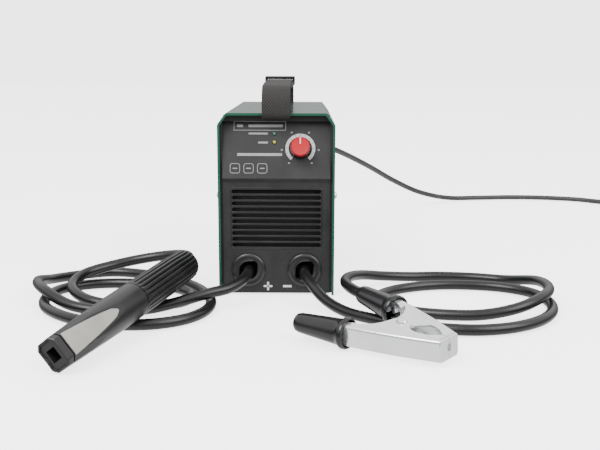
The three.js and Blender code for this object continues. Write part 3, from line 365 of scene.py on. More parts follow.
def slab(outline, low, high, ease=0.4):
    return prism(outline, [low, low + ease, high - ease, high], [ease, 0, 0, ease])


# Round shape about Z: pairs of radius and height, closed on itself where wrap is set.
def turned(profile, wrap=False, sides=64, ribs=None):
    angle = np.arange(sides) * turn / sides
    rings = []
    for radius, height in profile:
        r = radius * np.ones(sides) if ribs is None else radius - ribs(angle, radius, height)
        rings.append(np.stack([r * np.cos(angle), r * np.sin(angle), np.full(sides, height)], -1))
    return skin(rings, wrap)


# Straight blend of two points, by where s lies between two of the knots.
def between(knots, s, low, high, first, second):
    span = knots[high] - knots[low]
    return (knots[high] - s) / span * first + (s - knots[low]) / span * second


# Smooth curve through points, at even steps: a centripetal Catmull-Rom spline.
def curveThrough(points, step):
    p = np.array(points, float)
    p = np.vstack([2 * p[0] - p[1], p, 2 * p[-1] - p[-2]])
    fine = []
    for i in range(1, len(p) - 2):
        q = p[i - 1:i + 3]
        t = np.concatenate([[0], np.cumsum(np.linalg.norm(np.diff(q, axis=0), axis=1) ** 0.5)])
        s = np.linspace(t[1], t[2], 24, endpoint=False)[:, None]
        a = [between(t, s, j, j + 1, q[j], q[j + 1]) for j in range(3)]
        b = [between(t, s, j, j + 2, a[j], a[j + 1]) for j in range(2)]
        fine.append(between(t, s, 1, 2, b[0], b[1]))
    fine = np.vstack([*fine, p[-2:-1]])
    gone = np.concatenate([[0], np.cumsum(np.linalg.norm(np.diff(fine, axis=0), axis=1))])
    even = np.linspace(0, gone[-1], max(3, int(gone[-1] / step)))
    return np.stack([np.interp(even, gone, fine[:, k]) for k in range(3)], -1)


# An outline carried along a path, with its first direction level and its second upright.
def swept(path, outline, sizes=None):
    along = np.gradient(path, axis=0)
    along /= np.linalg.norm(along, axis=1)[:, None]
    side = np.cross(along, [0, 0, 1.0])
    side /= np.linalg.norm(side, axis=1)[:, None]
    up = np.cross(side, along)
    sizes = np.ones(len(path)) if sizes is None else sizes
    outline = np.asarray(outline, float)
    section = outline[None, :, :1] * side[:, None] + outline[None, :, 1:] * up[:, None]
    return skin(path[:, None] + sizes[:, None, None] * section)


# Leads
leads = {"weld": 10.0, "mains": 7.6, "step": 3.0, "sides": 24}
rest = leads["weld"] / 2 + 0.3
electrodeRoute = [
    [-27.3, 14, 25], [-27.3, 0, 25], [-27.6, -12, 24.6], [-32, -27, 21.5], [-44, -42, 18], [-60, -52, 16.4],
    [-82, -61, 12], [-112, -69, 6.5], [-148, -72, rest], [-184, -64, 8], [-212, -44, 16], [-229, -12, 16.4],
    [-227, 25, 9], [-208, 56, rest], [-177, 70, rest], [-142, 62, rest], [-109, 42, rest], [-83, 15, rest],
    [-66, -16, rest], [-59, -46, rest], [-62, -73, rest], [-75, -95, rest], [-97, -109, rest],
    [-125, -113, rest], [-156, -106, rest], [-187, -86, rest], [-209, -58, rest], [-216, -26, rest],
    [-208, 4, rest], [-184, 20, rest], [-152, 24, rest], [-120, 17, rest], [-94, 2, rest], [-80, -20, rest],
    [-86, -42, rest], [-110, -54, rest], [-146, -55, 5.6], [-176, -45, 9], [-194, -20, 14], [-190, 8, 18.5],
    [-164, 30, 23], [-128, 38, 29], [-100, 29, 34], [-86, 6, 37.2]]
earthRoute = [
    [27.3, 14, 25], [27.3, 0, 25], [27.8, -13, 24.5], [34, -29, 19], [46, -48, 10], [63, -70, 5.4],
    [86, -92, rest], [112, -108, rest], [141, -119, rest], [172, -123, rest], [204, -115, rest],
    [233, -94, rest], [251, -64, rest], [255, -33, rest], [246, -4, rest], [224, 14, rest],
    [196, 22, rest], [165, 23, rest], [136, 15, rest], [110, -2, rest], [96, -25, rest], [99, -50, rest],
    [119, -68, rest], [150, -79, rest], [184, -84, 6.8], [216, -80, 12], [242, -60, 16.6],
    [257, -28, 16.6], [255, 8, 14], [232, 40, 6.5], [201, 54, rest], [168, 58, rest], [136, 54, 5.8],
    [107, 42, 9.5], [85, 24, 15], [70.5, -2, 19.5], [65.5, -30, 22], [69.5, -58, 23.3]]
mainsRest = leads["mains"] / 2 + 0.4
mainsRoute = [
    [28, 217, 134], [28, 231, 134], [28, 252, 134], [28, 267, 134], [28.4, 271, 133.6], [36, 290, 122.5],
    [50, 318, 117], [80, 365, 101], [120, 425, 76], [165, 485, 46], [212, 535, 21], [262, 570, 7],
    [315, 590, mainsRest],
    [370, 597, mainsRest], [425, 592, mainsRest], [475, 575, mainsRest], [507, 551, mainsRest]]

holder = {"rear": (-84.5, -138.6, 36.4), "tip": (-155.0, -334.5, 14.6), "roll": 52.0}
clamp = {"place": (104.4, -160.7 + frontY, 15.6), "turn": (-7.0, -2.1, 133.4), "pivot": 45, "mouth": 76,
         "length": 125, "tipHalf": 11.0, "mouthHalf": 35.7, "endHalf": 38.9, "seat": 6.5}

holderAim = np.subtract(holder["tip"], holder["rear"])
holderLength = float(np.linalg.norm(holderAim))
holderAim = holderAim / holderLength
lean, pitch, heading = (math.radians(a) for a in clamp["turn"])
clampFrame = np.array(Matrix.Translation(clamp["place"]) @ Matrix.Rotation(heading, 4, "Z")
                      @ Matrix.Rotation(pitch, 4, "Y") @ Matrix.Rotation(lean, 4, "X"))
gripStart = np.array([clamp["mouth"] - clamp["pivot"], clamp["mouthHalf"] - clamp["seat"]])
gripEnd = np.array([clamp["length"] - clamp["pivot"], clamp["endHalf"]])
gripLength = float(np.linalg.norm(gripEnd - gripStart))
gripAim = (gripEnd - gripStart) / gripLength


def inClamp(points):
    return np.array(points, float) @ clampFrame[:3, :3].T + clampFrame[:3, 3]


def addLead(name, path, diameter, paint, nodes):
    tube = swept(path, circle(diameter / 2, leads["sides"]))
    return addPiece(name, tube, paint, nodes, sharp=60)


inHolder = np.array(holder["rear"]) + np.outer([0, 14, 30, 50, 70, 90], holderAim)
electrodePath = curveThrough(np.vstack([fromFront(electrodeRoute), inHolder]), leads["step"])
electrodeCable = addLead("electrode_cable", electrodePath, leads["weld"], "sheath", "electrode_lead")
inGrip = inClamp([[gripEnd[0] + s * gripAim[0], -gripEnd[1] - s * gripAim[1], 0] for s in (2, -8, -18, -29)])
earthPath = curveThrough(np.vstack([fromFront(earthRoute), inGrip]), leads["step"])
earthCable = addLead("earth_cable", earthPath, leads["weld"], "sheath", "earth_lead")

# Its spare length lies in two layers of turns, then runs into the plug's tail.
coil = {"centre": (570.9, 575.7, 2.2), "entry": 54.0, "outer": 50.0, "middle": 42.3, "inner": 34.6,
        "low": 4.0, "high": 11.6, "turns": 4.23, "steps": 20, "firstSide": (-0.6, -0.8)}
plug = {"round": 15.0, "tail": 5.5, "lift": 2.0, "gap": 0.3}
coilCentre = fromFront([coil["centre"]])[0]
startAngle = math.atan2(coil["firstSide"][1], coil["firstSide"][0])
swing = np.linspace(0, coil["turns"], int(coil["turns"] * coil["steps"]))
# The turns go in and out again, and the radius changes in the last seventh of each.
stepTurns = np.array([0, 0.1, 0.86, 1.0, 1.86, 2.0, 2.86, 3.0, 3.86, 4.0, 9])
stepNames = ["entry", "outer", "outer", "middle", "middle", "inner", "inner", "middle", "middle", "outer",
             "outer"]
coilRadius = np.interp(swing, stepTurns, [coil[name] for name in stepNames])
coilHeight = np.interp(swing, [0, 2.4, 2.9, 9], [coil["low"], coil["low"], coil["high"], coil["high"]])
coilAngle = startAngle + swing * turn
coilPath = coilCentre + np.stack([coilRadius * np.cos(coilAngle), coilRadius * np.sin(coilAngle),
                                  coilHeight], -1)
plugTailEnd = coilCentre + [coil["entry"] + plug["tail"] + plug["gap"], 0, plug["round"] - plug["lift"]]
lastAngle = coilAngle[-1]
lastAim = np.array([-math.sin(lastAngle), math.cos(lastAngle), 0])
mainsPath = curveThrough(np.vstack([fromFront(mainsRoute), coilPath, coilPath[-1:] + lastAim * 12,
                                    [plugTailEnd - [0, 10, 0]], [plugTailEnd + [0, 2, 0]]]), 2.4)
mainsCable = addLead("mains_cable", mainsPath, leads["mains"], "mainsSheath", ("mains_lead", "mains_coil"))
print("leads done")

# Case
case = {"half": 56.0, "top": 177.0, "shoulder": (8.0, 11.0), "sheet": 1.0, "low": 0.4, "hem": 2.3}


def caseOutline(inset, low):
    run, drop = case["shoulder"]
    slope = math.hypot(run, drop)
    shoulderZ = case["top"] - drop - inset * (slope - drop) / run
    shoulderX = case["half"] - run - inset * (slope - run) / drop
    side, top = case["half"] - inset, case["top"] - inset
    return [[-side, low], [-side, shoulderZ], [-shoulderX, top], [shoulderX, top], [side, shoulderZ],
            [side, low]]


outer = eased(caseOutline(0, case["low"]), [0.02, 1.6, 1.6, 1.6, 1.6, 0.02])
inner = eased(caseOutline(case["sheet"], case["low"]), [0.02, 1.2, 1.2, 1.2, 1.2, 0.02])
hem = eased(caseOutline(case["hem"], case["low"]), [0.02, 1.0, 1.0, 1.0, 1.0, 0.02])


# The section lies across the case, so its rings stand along Y. The sheet is folded double at the front.
def coverRing(y, inside):
    section = np.concatenate([outer, inside[::-1]])
    return np.column_stack([section[:, 0], np.full(len(section), y), section[:, 1]])


fold = 5.2
coverRings = [coverRing(y, hem) for y in (frontY, frontY + fold)]
singleSheet = [frontY + fold + 0.05, *np.linspace(frontY + 12, rearY - 2, 12), rearY]
coverRings += [coverRing(y, inner) for y in singleSheet]
cover = skin(coverRings)
addPiece("cover_sheet", cover, "green", "top_cover", sharp=30, bevel=0.22)

screw = {"inset": 14, "z": 97, "off": 0.3}
screwRows = (frontY + screw["inset"], rearY - screw["inset"])
for i, (side, y) in enumerate([(side, y) for side in (-1, 1) for y in screwRows]):
    profile = [(0.3, -7), (1.7, -7), (1.75, 0), (3.5, 0), (3.4, 0.7), (2.6, 1.6), (1.3, 2.0), (0.3, 2.0)]
    screwHead = turned(profile, sides=28)
    # The dark cross on each head is painted shade standing in for the cross recess.
    cross = gather(slab(softBox(3.6, 0.8, 0.15, 3), 1.93, 2.06, 0.03),
                   slab(softBox(0.8, 3.6, 0.15, 3), 1.92, 2.05, 0.03))
    place = frameAt((side * (case["half"] + screw["off"]), y, screw["z"]), (side, 0, 0), (0, 1, 0))
    addPiece(f"screw_{i + 1}", moved(screwHead, place), "chrome", f"cover_screw_{i + 1}")
    addPiece(f"screw_recess_shade_{i + 1}", moved(cross, place), "blackAndShade")
print("case done")

# Console: the sloping top of the front panel
console = {"lip": (frontY + 0.5, 115.0), "top": (frontY + 14.0, 169.0)}
rise, run = console["top"][1] - console["lip"][1], console["top"][0] - console["lip"][0]
slopeAngle = math.atan2(run, rise)
outward = np.array([0, -math.cos(slopeAngle), math.sin(slopeAngle)])
upward = np.array([0, math.sin(slopeAngle), math.cos(slopeAngle)])


# Frame on the console, at a distance across and a height over the floor; its Z points out of it.
def onConsole(x, z, out=0.0):
    along = (z - console["lip"][1]) / math.cos(slopeAngle)
    place = np.array([x, console["lip"][0], console["lip"][1]]) + along * upward + out * outward
    return frameAt(place, outward, (1, 0, 0))


# Frame on the upright face below the console.
def onFace(x, z, out=0.0):
    return frameAt((x, frontY + 4 - out, z), (0, -1, 0), (1, 0, 0))


knob = {"x": 22.8, "z": 143.0, "grips": 18, "depth": 0.45}
knobPlace = onConsole(knob["x"], knob["z"])


def knurl(angle, radius, height):
    return (0.5 + 0.5 * np.cos(angle * knob["grips"])) ** 3 * knob["depth"] * (radius > 7.5)


skirt = turned([(0.4, 0.95), (10, 0.95), (10.15, 1.5), (9.9, 3.2), (9.6, 5.5), (9.3, 8.0), (8.9, 8.9),
                (0.4, 8.9)], ribs=knurl, sides=144)
cap = turned([(0.4, 8.8), (9.0, 8.8), (9.0, 14.6), (8.7, 15.5), (8.0, 16.0), (6.0, 15.75), (0.4, 15.7)],
             sides=72)
addPiece("knob_skirt_moulding", moved(skirt, knobPlace), "gloss", "knob_skirt", "knob", 50)
addPiece("knob_cap_moulding", moved(cap, knobPlace), "red", "knob_cap", "knob", 40)
pointer = slab(softBox(1.1, 6.0, 0.3, 3) + [0, 5.2], 15.75, 16.15, 0.08)
addPiece("knob_pointer", moved(pointer, knobPlace), "white", (), "knob")

# An open ring with graduations, and small dots round it.
scale = {"outer": 14.25, "inner": 11.25, "from": -50, "to": 230, "marks": 13, "first": -42, "sweep": 264,
         "dots": (-52, -4, 62, 118, 184, 232), "dotRadius": 17.6}
arc = np.radians(np.linspace(scale["from"], scale["to"], 90))
arc = np.stack([np.cos(arc), np.sin(arc)], -1)
ring = np.concatenate([arc * scale["outer"], arc[::-1] * scale["inner"]])
addPiece("scale_ring", moved(prism(ring, [0.3, 0.8]), knobPlace), "silver", "current_scale",
         sharp=30)
ticks = []
for k in range(scale["marks"]):
    angle = math.radians(scale["first"] + k * scale["sweep"] / (scale["marks"] - 1))
    tall = 1.9 if k % 2 == 0 else 1.2
    tick = slab(softBox(tall, 0.45, 0.1, 3) + [14.1 - tall / 2 - 0.3, 0], 0.75, 0.92, 0.03)
    spin = np.eye(4)
    spin[:2, :2] = [[math.cos(angle), -math.sin(angle)], [math.sin(angle), math.cos(angle)]]
    ticks.append(moved(tick, spin))
addPiece("scale_marks", moved(gather(*ticks), knobPlace), "blackAndShade", ())
dots = []
for angle in np.radians(scale["dots"]):
    middle = scale["dotRadius"] * np.array([math.cos(angle), math.sin(angle)])
    dots.append(slab(softBox(1.9, 1.3, 0.4, 3) + middle, 0, 0.1, 0.02))
addPiece("scale_dots", moved(gather(*dots), knobPlace), "print")

for name, z, paint in (("power_led", 157, "greenLens"), ("overheat_led", 149, "yellowLens")):
    lens = turned([(0.3, -6), (1.6, -6), (1.6, 0.1), (1.45, 0.6), (1.0, 1.0), (0.3, 1.15)], sides=32)
    collar = turned([(1.75, 0.02), (2.2, 0.02), (2.15, 0.3), (1.8, 0.35)], wrap=True, sides=32)
    addPiece(f"{name}_lens", moved(lens, onConsole(-2, z)), paint, name)
    addPiece(f"{name}_collar", moved(collar, onConsole(-2, z)), "gloss", ())


# A thin frame with rounded corners, printed on the panel.
def printedFrame(width, height, radius, line):
    outside = softBox(width, height, radius, 4)
    inside = softBox(width - 2 * line, height - 2 * line, max(0.2, radius - line), 4)
    levels = ((outside, 0.0), (outside, 0.1), (inside, 0.1), (inside, 0.0))
    return skin([np.column_stack([o, np.full(len(o), h)]) for o, h in levels], wrap=True)


def printedBar(width, height):
    return slab(softBox(width, height, min(0.5, height * 0.4), 4), 0, 0.1, 0.02)


# Plain bars and frames stand where the panel's printing is.
signs = {"z": 124.5, "x": (-39.5, -26.5, -13.5)}
titleZ = 164.2
printing = [(printedBar(18.5, 1.7), -17.5, 157), (printedBar(9.5, 1.7), -12.8, 148.6),
            (printedBar(43, 2.6), -16, 137.4), (printedFrame(50, 9, 0.6, 0.55), -16, titleZ),
            (printedBar(33, 2.6), -10.5, titleZ), (printedBar(6, 2.6), -35, titleZ)]
printing += [(printedFrame(9.6, 9.6, 2.2, 0.5), x, signs["z"]) for x in signs["x"]]
printing += [(printedBar(4.6, 0.9), x, signs["z"]) for x in signs["x"]]
printed = gather(*[moved(shape, onConsole(x, z)) for shape, x, z in printing])
addPiece("panel_printing", printed, "print")
plus = gather(slab(softBox(8.4, 1.9, 0.3, 3), 0, 0.12, 0.03), slab(softBox(1.9, 8.4, 0.3, 3), 0, 0.12, 0.03))
addPiece("plus_mark", moved(plus, onFace(-8.4, 8.4)), "white")
addPiece("minus_mark", moved(slab(softBox(8.4, 2.1, 0.3, 3), 0, 0.12, 0.03), onFace(10.4, 8.4)), "white")

# A rounded lip along the lower edge of each louvre slot, and a frame round them all.
louvres = {"count": 10, "pitch": 5.8, "low": 47.5, "height": 4.2, "width": 86.0}
lips = []
lipReach = louvres["width"] / 2 - 0.6
for k in range(louvres["count"]):
    z = louvres["low"] + k * louvres["pitch"]
    line = np.array([[x, frontY + 4.0, z - 0.2] for x in np.linspace(-lipReach, lipReach, 12)])
    lips.append(swept(line, circle(0.5, 12)))
louvreTop = louvres["low"] + (louvres["count"] - 1) * louvres["pitch"] + louvres["height"]
lipPath = softBox(louvres["width"] + 1.6, louvreTop - louvres["low"] + 3.2, 2.6, 6)
lipPath = lipPath + [0, (louvreTop + louvres["low"]) / 2]
lipRing = np.column_stack([lipPath[:, 0], np.full(len(lipPath), frontY + 3.9), lipPath[:, 1]])
around = np.roll(lipRing, -1, 0) - np.roll(lipRing, 1, 0)
around /= np.linalg.norm(around, axis=1)[:, None]
outwardSide = np.cross(around, [0, 1.0, 0])
wire = circle(0.42, 10)
wireSection = wire[None, :, :1] * outwardSide[:, None] + wire[None, :, 1:] * np.array([0, 1.0, 0])
lips.append(skin(lipRing[:, None] + wireSection, wrap=True))
addPiece("louvre_lips", gather(*lips), "outlet")
# A dark strip behind the cover's front edge, above the console, is painted shade for the gap there.
reveal = slab(softBox(101, 6.0, 0.6, 4), 0, 0.3, 0.08)
addPiece("top_gap_shade", moved(reveal, frameAt((0, frontY + 5.9, 172.3), (0, -1, 0), (1, 0, 0))), "blackAndShade")

# A dark sheet behind the louvres is painted shade: it hides the parts inside so that the slots look black.
louvreShade = prism([[-45, 1], [45, 1], [45, 60], [-45, 60]], [0, 0.6])
addPiece("louvre_shade_sheet", moved(louvreShade, frameAt((0, frontY + 13, 45), (0, -1, 0), (1, 0, 0))), "blackAndShade")


# Each outlet is a flanged bush whose bore has two keyways, at the two angles opposite each other where the
# twelfth power of the cosine peaks.
def keyedRing(radius, height, lobe, count=96):
    angle = np.arange(count) * turn / count
    r = radius + lobe * np.cos(angle - math.radians(45)) ** 12
    return np.stack([r * np.cos(angle), r * np.sin(angle), np.full(count, height)], -1)


outlet = {"side": 27.3, "z": 25}
for name, x in (("positive_outlet", -outlet["side"]), ("negative_outlet", outlet["side"])):
    levels = [(11.4, -15, 0), (11.4, 0.3, 0), (16.5, 0.3, 0), (16.5, 1.6, 0), (16.1, 2.4, 0),
              (15.2, 2.9, 0), (13.8, 3.2, 0), (13.2, 2.9, 0), (10.4, 2.9, 0.4), (9.2, 3.4, 2.2),
              (8.7, 3.0, 2.3), (8.4, 1.5, 2.3), (8.4, -15, 2.3)]
    bush = skin([keyedRing(r, h, lobe) for r, h, lobe in levels], wrap=True)
    addPiece(f"{name}_bush", moved(bush, onFace(x, outlet["z"])), "outlet", name)
    # A dark disc across the foot of each bore is painted shade.
    bore_shade = turned([(0.4, -15.5), (11.2, -15.5), (11.2, -15.2), (0.4, -15.2)], sides=48)
    addPiece(f"{name}_well", moved(bore_shade, onFace(x, outlet["z"])), "blackAndShade")
print("panel done")

# Strap
strap = {"width": 26.8, "thick": 1.8, "rise": 28.0, "slot": 172.3}
strapTop = case["top"] + strap["rise"]
slotZ = strap["slot"]
frontHalf = [[frontY + 20, slotZ], [frontY + 6, slotZ], [frontY + 1, slotZ], [frontY - 3.2, slotZ + 2.2],
             [frontY - 4.4, slotZ + 8], [frontY - 4, slotZ + 17], [frontY - 0.5, slotZ + 24.5],
             [frontY + 7, strapTop - 3.8], [frontY + 24, strapTop - 2.4], [frontY + 66, strapTop - 0.8],
             [0, strapTop]]
arch = frontHalf + [[-y, z] for y, z in frontHalf[-2::-1]]
strapPath = curveThrough([[0, y, z] for y, z in arch], 2.0)


# The band's section follows the path in the upright plane: width runs along X.
def band(path, width, thick, offset=0.0):
    along = np.gradient(path, axis=0)
    along /= np.linalg.norm(along, axis=1)[:, None]
    normal = np.cross(np.array([1.0, 0, 0]), along)
    outline = softBox(width, thick, thick * 0.42, 4)
    middle = path + normal * offset
    section = outline[None, :, :1] * np.array([1.0, 0, 0]) + outline[None, :, 1:] * normal[:, None]
    return skin(middle[:, None] + section)


strapBand = addPiece("strap_band", band(strapPath, strap["width"], strap["thick"]), "webbing",
                     "carry_strap", sharp=50)
# The strap's doubled end runs back under it from the buckle, a little to one side.
strapTail = {"from": -104, "to": 24, "above": 190, "aside": 2.6, "width": 25.6, "thick": 1.6, "under": -2.3}
_, y, z = strapPath.T
doubled = (y > strapTail["from"]) & (y < strapTail["to"]) & (z > strapTail["above"])
tailPath = strapPath[doubled] + [strapTail["aside"], 0, 0]
addPiece("strap_tail", band(tailPath, strapTail["width"], strapTail["thick"], strapTail["under"]), "webbing",
         sharp=50)

# The buckle has two end bars over the strap, one under it, and two rails.
buckle = {"y": 20.0, "reach": 9, "overrun": 2, "wide": 31.5, "bar": (4.2, 3.0), "gap": 0.3, "tail": 1.2}
bed = float(np.interp(buckle["y"], strapPath[:, 1][20:-20], strapPath[:, 2][20:-20]))
over = bed + strap["thick"] / 2 + buckle["gap"]
under = bed - strap["thick"] / 2 - buckle["gap"] - buckle["tail"]


def roundBar(start, end, outline):
    return swept(np.linspace(start, end, 6), outline)


barShape = softBox(*buckle["bar"], 1.1, 5)
barX, barRise = buckle["wide"] / 2, buckle["bar"][1] / 2
ends = (buckle["y"] - buckle["reach"], buckle["y"] + buckle["reach"])
bars = [(y, over + barRise) for y in ends] + [(buckle["y"], under - barRise)]
buckleParts = [roundBar((-barX, y, z), (barX, y, z), barShape) for y, z in bars]
railShape = softBox(2.2, over - under + 5.6, 1.0, 5)
railZ = (over + under) / 2
for side in (-1, 1):
    x = side * (strap["width"] / 2 + 1.5)
    railEnds = [(x, ends[0] - buckle["overrun"], railZ), (x, ends[1] + buckle["overrun"], railZ)]
    buckleParts.append(roundBar(*railEnds, railShape))
addPiece("buckle_moulding", gather(*buckleParts), "gloss", "strap_buckle", sharp=50)
print("strap done")

# Electrode holder
level = np.array([-holderAim[1], holderAim[0], 0])
level /= np.linalg.norm(level)
upright = np.cross(holderAim, level)
roll = math.radians(holder["roll"])
plateOut = upright * math.cos(roll) + level * math.sin(roll)
# The holder's own frame: Z runs from the cable to the tip, X points out of the grey plate.
holderFrame = frameAt(holder["rear"], holderAim, plateOut)
handle = {"length": 97.0, "ribs": 22, "depth": 1.7}


def fluted(angle, radius, height):
    wave = 0.5 + 0.5 * np.cos(angle * handle["ribs"])
    fade = min(1, max(0, (height - 1.0) / 5)) * min(1, max(0, (handle["length"] - 2 - height) / 3))
    return wave ** 3 * handle["depth"] * fade * (radius > 9)


stations = np.linspace(4, handle["length"], 30)
handleEnd = handle["length"] - 0.2
handleProfile = [(5.9, 6.0), (5.9, 0.8), (7.5, 0.0), (12.0, 0.2), (13.6, 1.4), (14.4, 3.4)]
handleProfile += [(14.4 + 1.1 * min(1, (s - 4) / 25), s) for s in stations]
handleProfile += [(15.2, handleEnd), (5.9, handleEnd)]
sleeve = turned(handleProfile, wrap=True, sides=240, ribs=fluted)
addPiece("handle_moulding", moved(sleeve, holderFrame), "dark", "holder_handle", "holder_sleeve", 60)

head = {"round": 15.5, "tipFlat": 10.0, "tipFlank": 12.75, "chamfer": 24.0, "tipChamfer": 19.0,
        "facets": 80, "border": 1.7}
headFrom, headTo = handle["length"] + 0.3, holderLength
facetFrom = headTo - head["facets"]


# The head's radius at an angle is the least of a round bar's, of two pairs of planes' that close in towards
# the tip, and of a corner chamfer's.
def headRing(s, grow=0.0, count=160):
    angle = np.arange(count) * turn / count
    share = max(0.0, (s - facetFrom) / (headTo - facetFrom))
    flat = head["round"] + (head["tipFlat"] - head["round"]) * share
    flank = head["round"] + (head["tipFlank"] - head["round"]) * share
    chamfer = head["chamfer"] + (head["tipChamfer"] - head["chamfer"]) * share
    c, d = np.abs(np.cos(angle)), np.abs(np.sin(angle))
    r = grow + np.minimum.reduce([np.full(count, head["round"]), flat / np.maximum(c, 1e-6),
                                  flank / np.maximum(d, 1e-6), chamfer / (c + d)])
    return np.stack([r * np.cos(angle), r * np.sin(angle), np.full(count, s)], -1)


def slotRing(s, x, y, count=160):
    angle = np.arange(count) * turn / count
    c, d = np.abs(np.cos(angle)), np.abs(np.sin(angle))
    r = np.minimum(x / np.maximum(c, 1e-6), y / np.maximum(d, 1e-6))
    return np.stack([r * np.cos(angle), r * np.sin(angle), np.full(count, s)], -1)


headRings = [headRing(headFrom, -9.0), headRing(headFrom, -0.5), headRing(headFrom + 0.6)]
headRings += [headRing(s) for s in np.linspace(headFrom + 3, headTo - 9, 60)]
# A groove goes round behind the tip, then a rounded rim leads into the slot.
headRings += [headRing(headTo - back, grow) for back, grow in
              ((7.9, 0), (7.6, -1.0), (6.6, -1.0), (6.3, 0), (1.0, 0), (0.2, -0.7), (0.1, -2.0), (1.4, -2.6))]
headRings += [slotRing(headTo - back, x, y) for back, x, y in
              ((1.4, 4.6, 5.1), (2.2, 4.3, 4.8), (26, 4.3, 4.8))]
addPiece("head_moulding", moved(skin(headRings), holderFrame), "dark", "holder_head", sharp=28)


# Grey plate on a facet: its half width follows the facet's edge, less a border.
def facetPlate(sign):
    s = np.linspace(facetFrom + 9, headTo - 8.4, 40)
    share = (s - facetFrom) / (headTo - facetFrom)
    flat = head["round"] + (head["tipFlat"] - head["round"]) * share
    flank = head["round"] + (head["tipFlank"] - head["round"]) * share
    wide = np.minimum(np.sqrt(head["round"] ** 2 - flat ** 2), flank) - head["border"]
    wide = wide * np.sqrt(np.clip((s - s[0] + 0.4) / 6, 0, 1))
    left = np.column_stack([-wide, s])
    outline = np.concatenate([np.column_stack([wide, s]), left[::-1]])
    flat = np.concatenate([flat, flat[::-1]])
    layers = []
    for h, shrink in ((-0.6, 1), (0.35, 1), (0.6, 0.965)):
        layers.append(np.column_stack([sign * (flat + h), outline[:, 0] * shrink, outline[:, 1]]))
    return skin(layers)


for name, sign in (("holder_plate_upper", 1), ("holder_plate_lower", -1)):
    addPiece(f"{name}_insert", moved(facetPlate(sign), holderFrame), "plate", name, sharp=30)
print("holder done")

# Ground clamp
pressed = {"half": 9.2, "bend": 2.6, "sheet": 1.6, "stepIn": 2.0}
clampX = np.array([-45, 0, 31, 47.0])
cheekEdge = [(-45, 0.15), (-39.5, 0.15), (-37, 2.4), (-32, 6.2), (-26, 8.4), (-20, 8.8), (-14, 7.2),
             (-10, 2.8), (-8, -2.4), (-5.5, -5.6), (-2.5, -6.9), (2.5, -6.9), (5.5, -5.6), (8, -2.0),
             (9.5, 5), (11.5, 12), (14.5, 17.5), (19, 22), (25, 25.2), (31, 27.4), (38, 29.2)]
webLine = np.polyfit(clampX, [clamp["tipHalf"], 26.6, clamp["mouthHalf"], 38.8], 2)


# One pressed channel: at each station a U of sheet whose cheeks reach to an inner line. The rear half's
# cheeks step in round the pivot.
def channel(step):
    rings = []
    wide, r, t = pressed["half"], pressed["bend"], pressed["sheet"]
    bend = np.linspace(0, math.pi / 2, 6)
    for x in np.linspace(-45, 38, 60):
        web = np.polyval(webLine, x)
        edge = np.interp(x, *np.array(cheekEdge).T)
        near = np.interp(x, [-22, -15, 20, 27], [0, 1, 1, 0]) * step
        low = wide - pressed["stepIn"] * near
        middle = max(min(10.0, web - 7.0), edge + 0.3)
        outside = [(edge, low), (middle, low), (min(middle + 4, web - r - 0.2), wide)]
        outside += [(web - r + r * math.sin(a), wide - r + r * math.cos(a)) for a in bend]
        inside = [(edge, low - t), (middle, low - t), (min(middle + 4, web - r - 0.2), wide - t)]
        inside += [(web - r + (r - t) * math.sin(a), wide - r + (r - t) * math.cos(a)) for a in bend]
        upper = np.array(outside + [(y, -z) for y, z in outside[::-1]] + [(y, -z) for y, z in inside]
                         + inside[::-1])
        rings.append(np.column_stack([np.full(len(upper), x), upper]))
    # Each end wall has half of the eye where the two halves meet.
    wall = np.array([(0.15, wide), (0.15, 4.6), (1.2, 4.2), (2.2, 3.0), (2.2, -3.0), (1.2, -4.2),
                     (0.15, -4.6), (0.15, -wide), (8.6, -wide), (10.3, -8.5), (11.0, -6.8), (11.0, 6.8),
                     (10.3, 8.5), (8.6, wide)])
    ends = []
    for x, shrink in ((-45.9, 0.955), (-45.2, 0.99), (-44.4, 1.0), (-43.2, 1.0)):
        ends.append(np.column_stack([np.full(len(wall), x), (wall - [0.15, 0]) * shrink + [0.15, 0]]))
    return gather(skin(rings), skin(ends))


turnOver = np.diag([1.0, -1.0, -1.0, 1.0])
gripPlace = frameAt((gripStart[0], gripStart[1], 0), (gripAim[0], gripAim[1], 0), (0, 0, 1))


def grip(hollow):
    outside = [(12.2, -0.6), (13.0, 0.6), (13.0, 3.2), (12.4, 4.2), (11.5, 5.4)]
    outside += [(11.3 - 2.9 * s / 45, s) for s in np.linspace(6.4, 43, 12)]
    outside += [(8.3, 45.5), (7.6, 48.3), (6.4, gripLength - 0.2)]
    if hollow:
        inside = [(5.7, gripLength - 0.2), (5.6, gripLength - 4), (5.6, 22), (9.8, 14), (10.5, 4),
                  (11.2, -0.6)]
        return turned(outside + inside, wrap=True, sides=56)
    mouth = [(0.4, 9), (10.4, 8.9), (10.6, 4), (11.2, -0.6)]
    return turned(mouth + outside + [(4.0, gripLength + 0.5), (0.4, gripLength + 0.6)], sides=56)


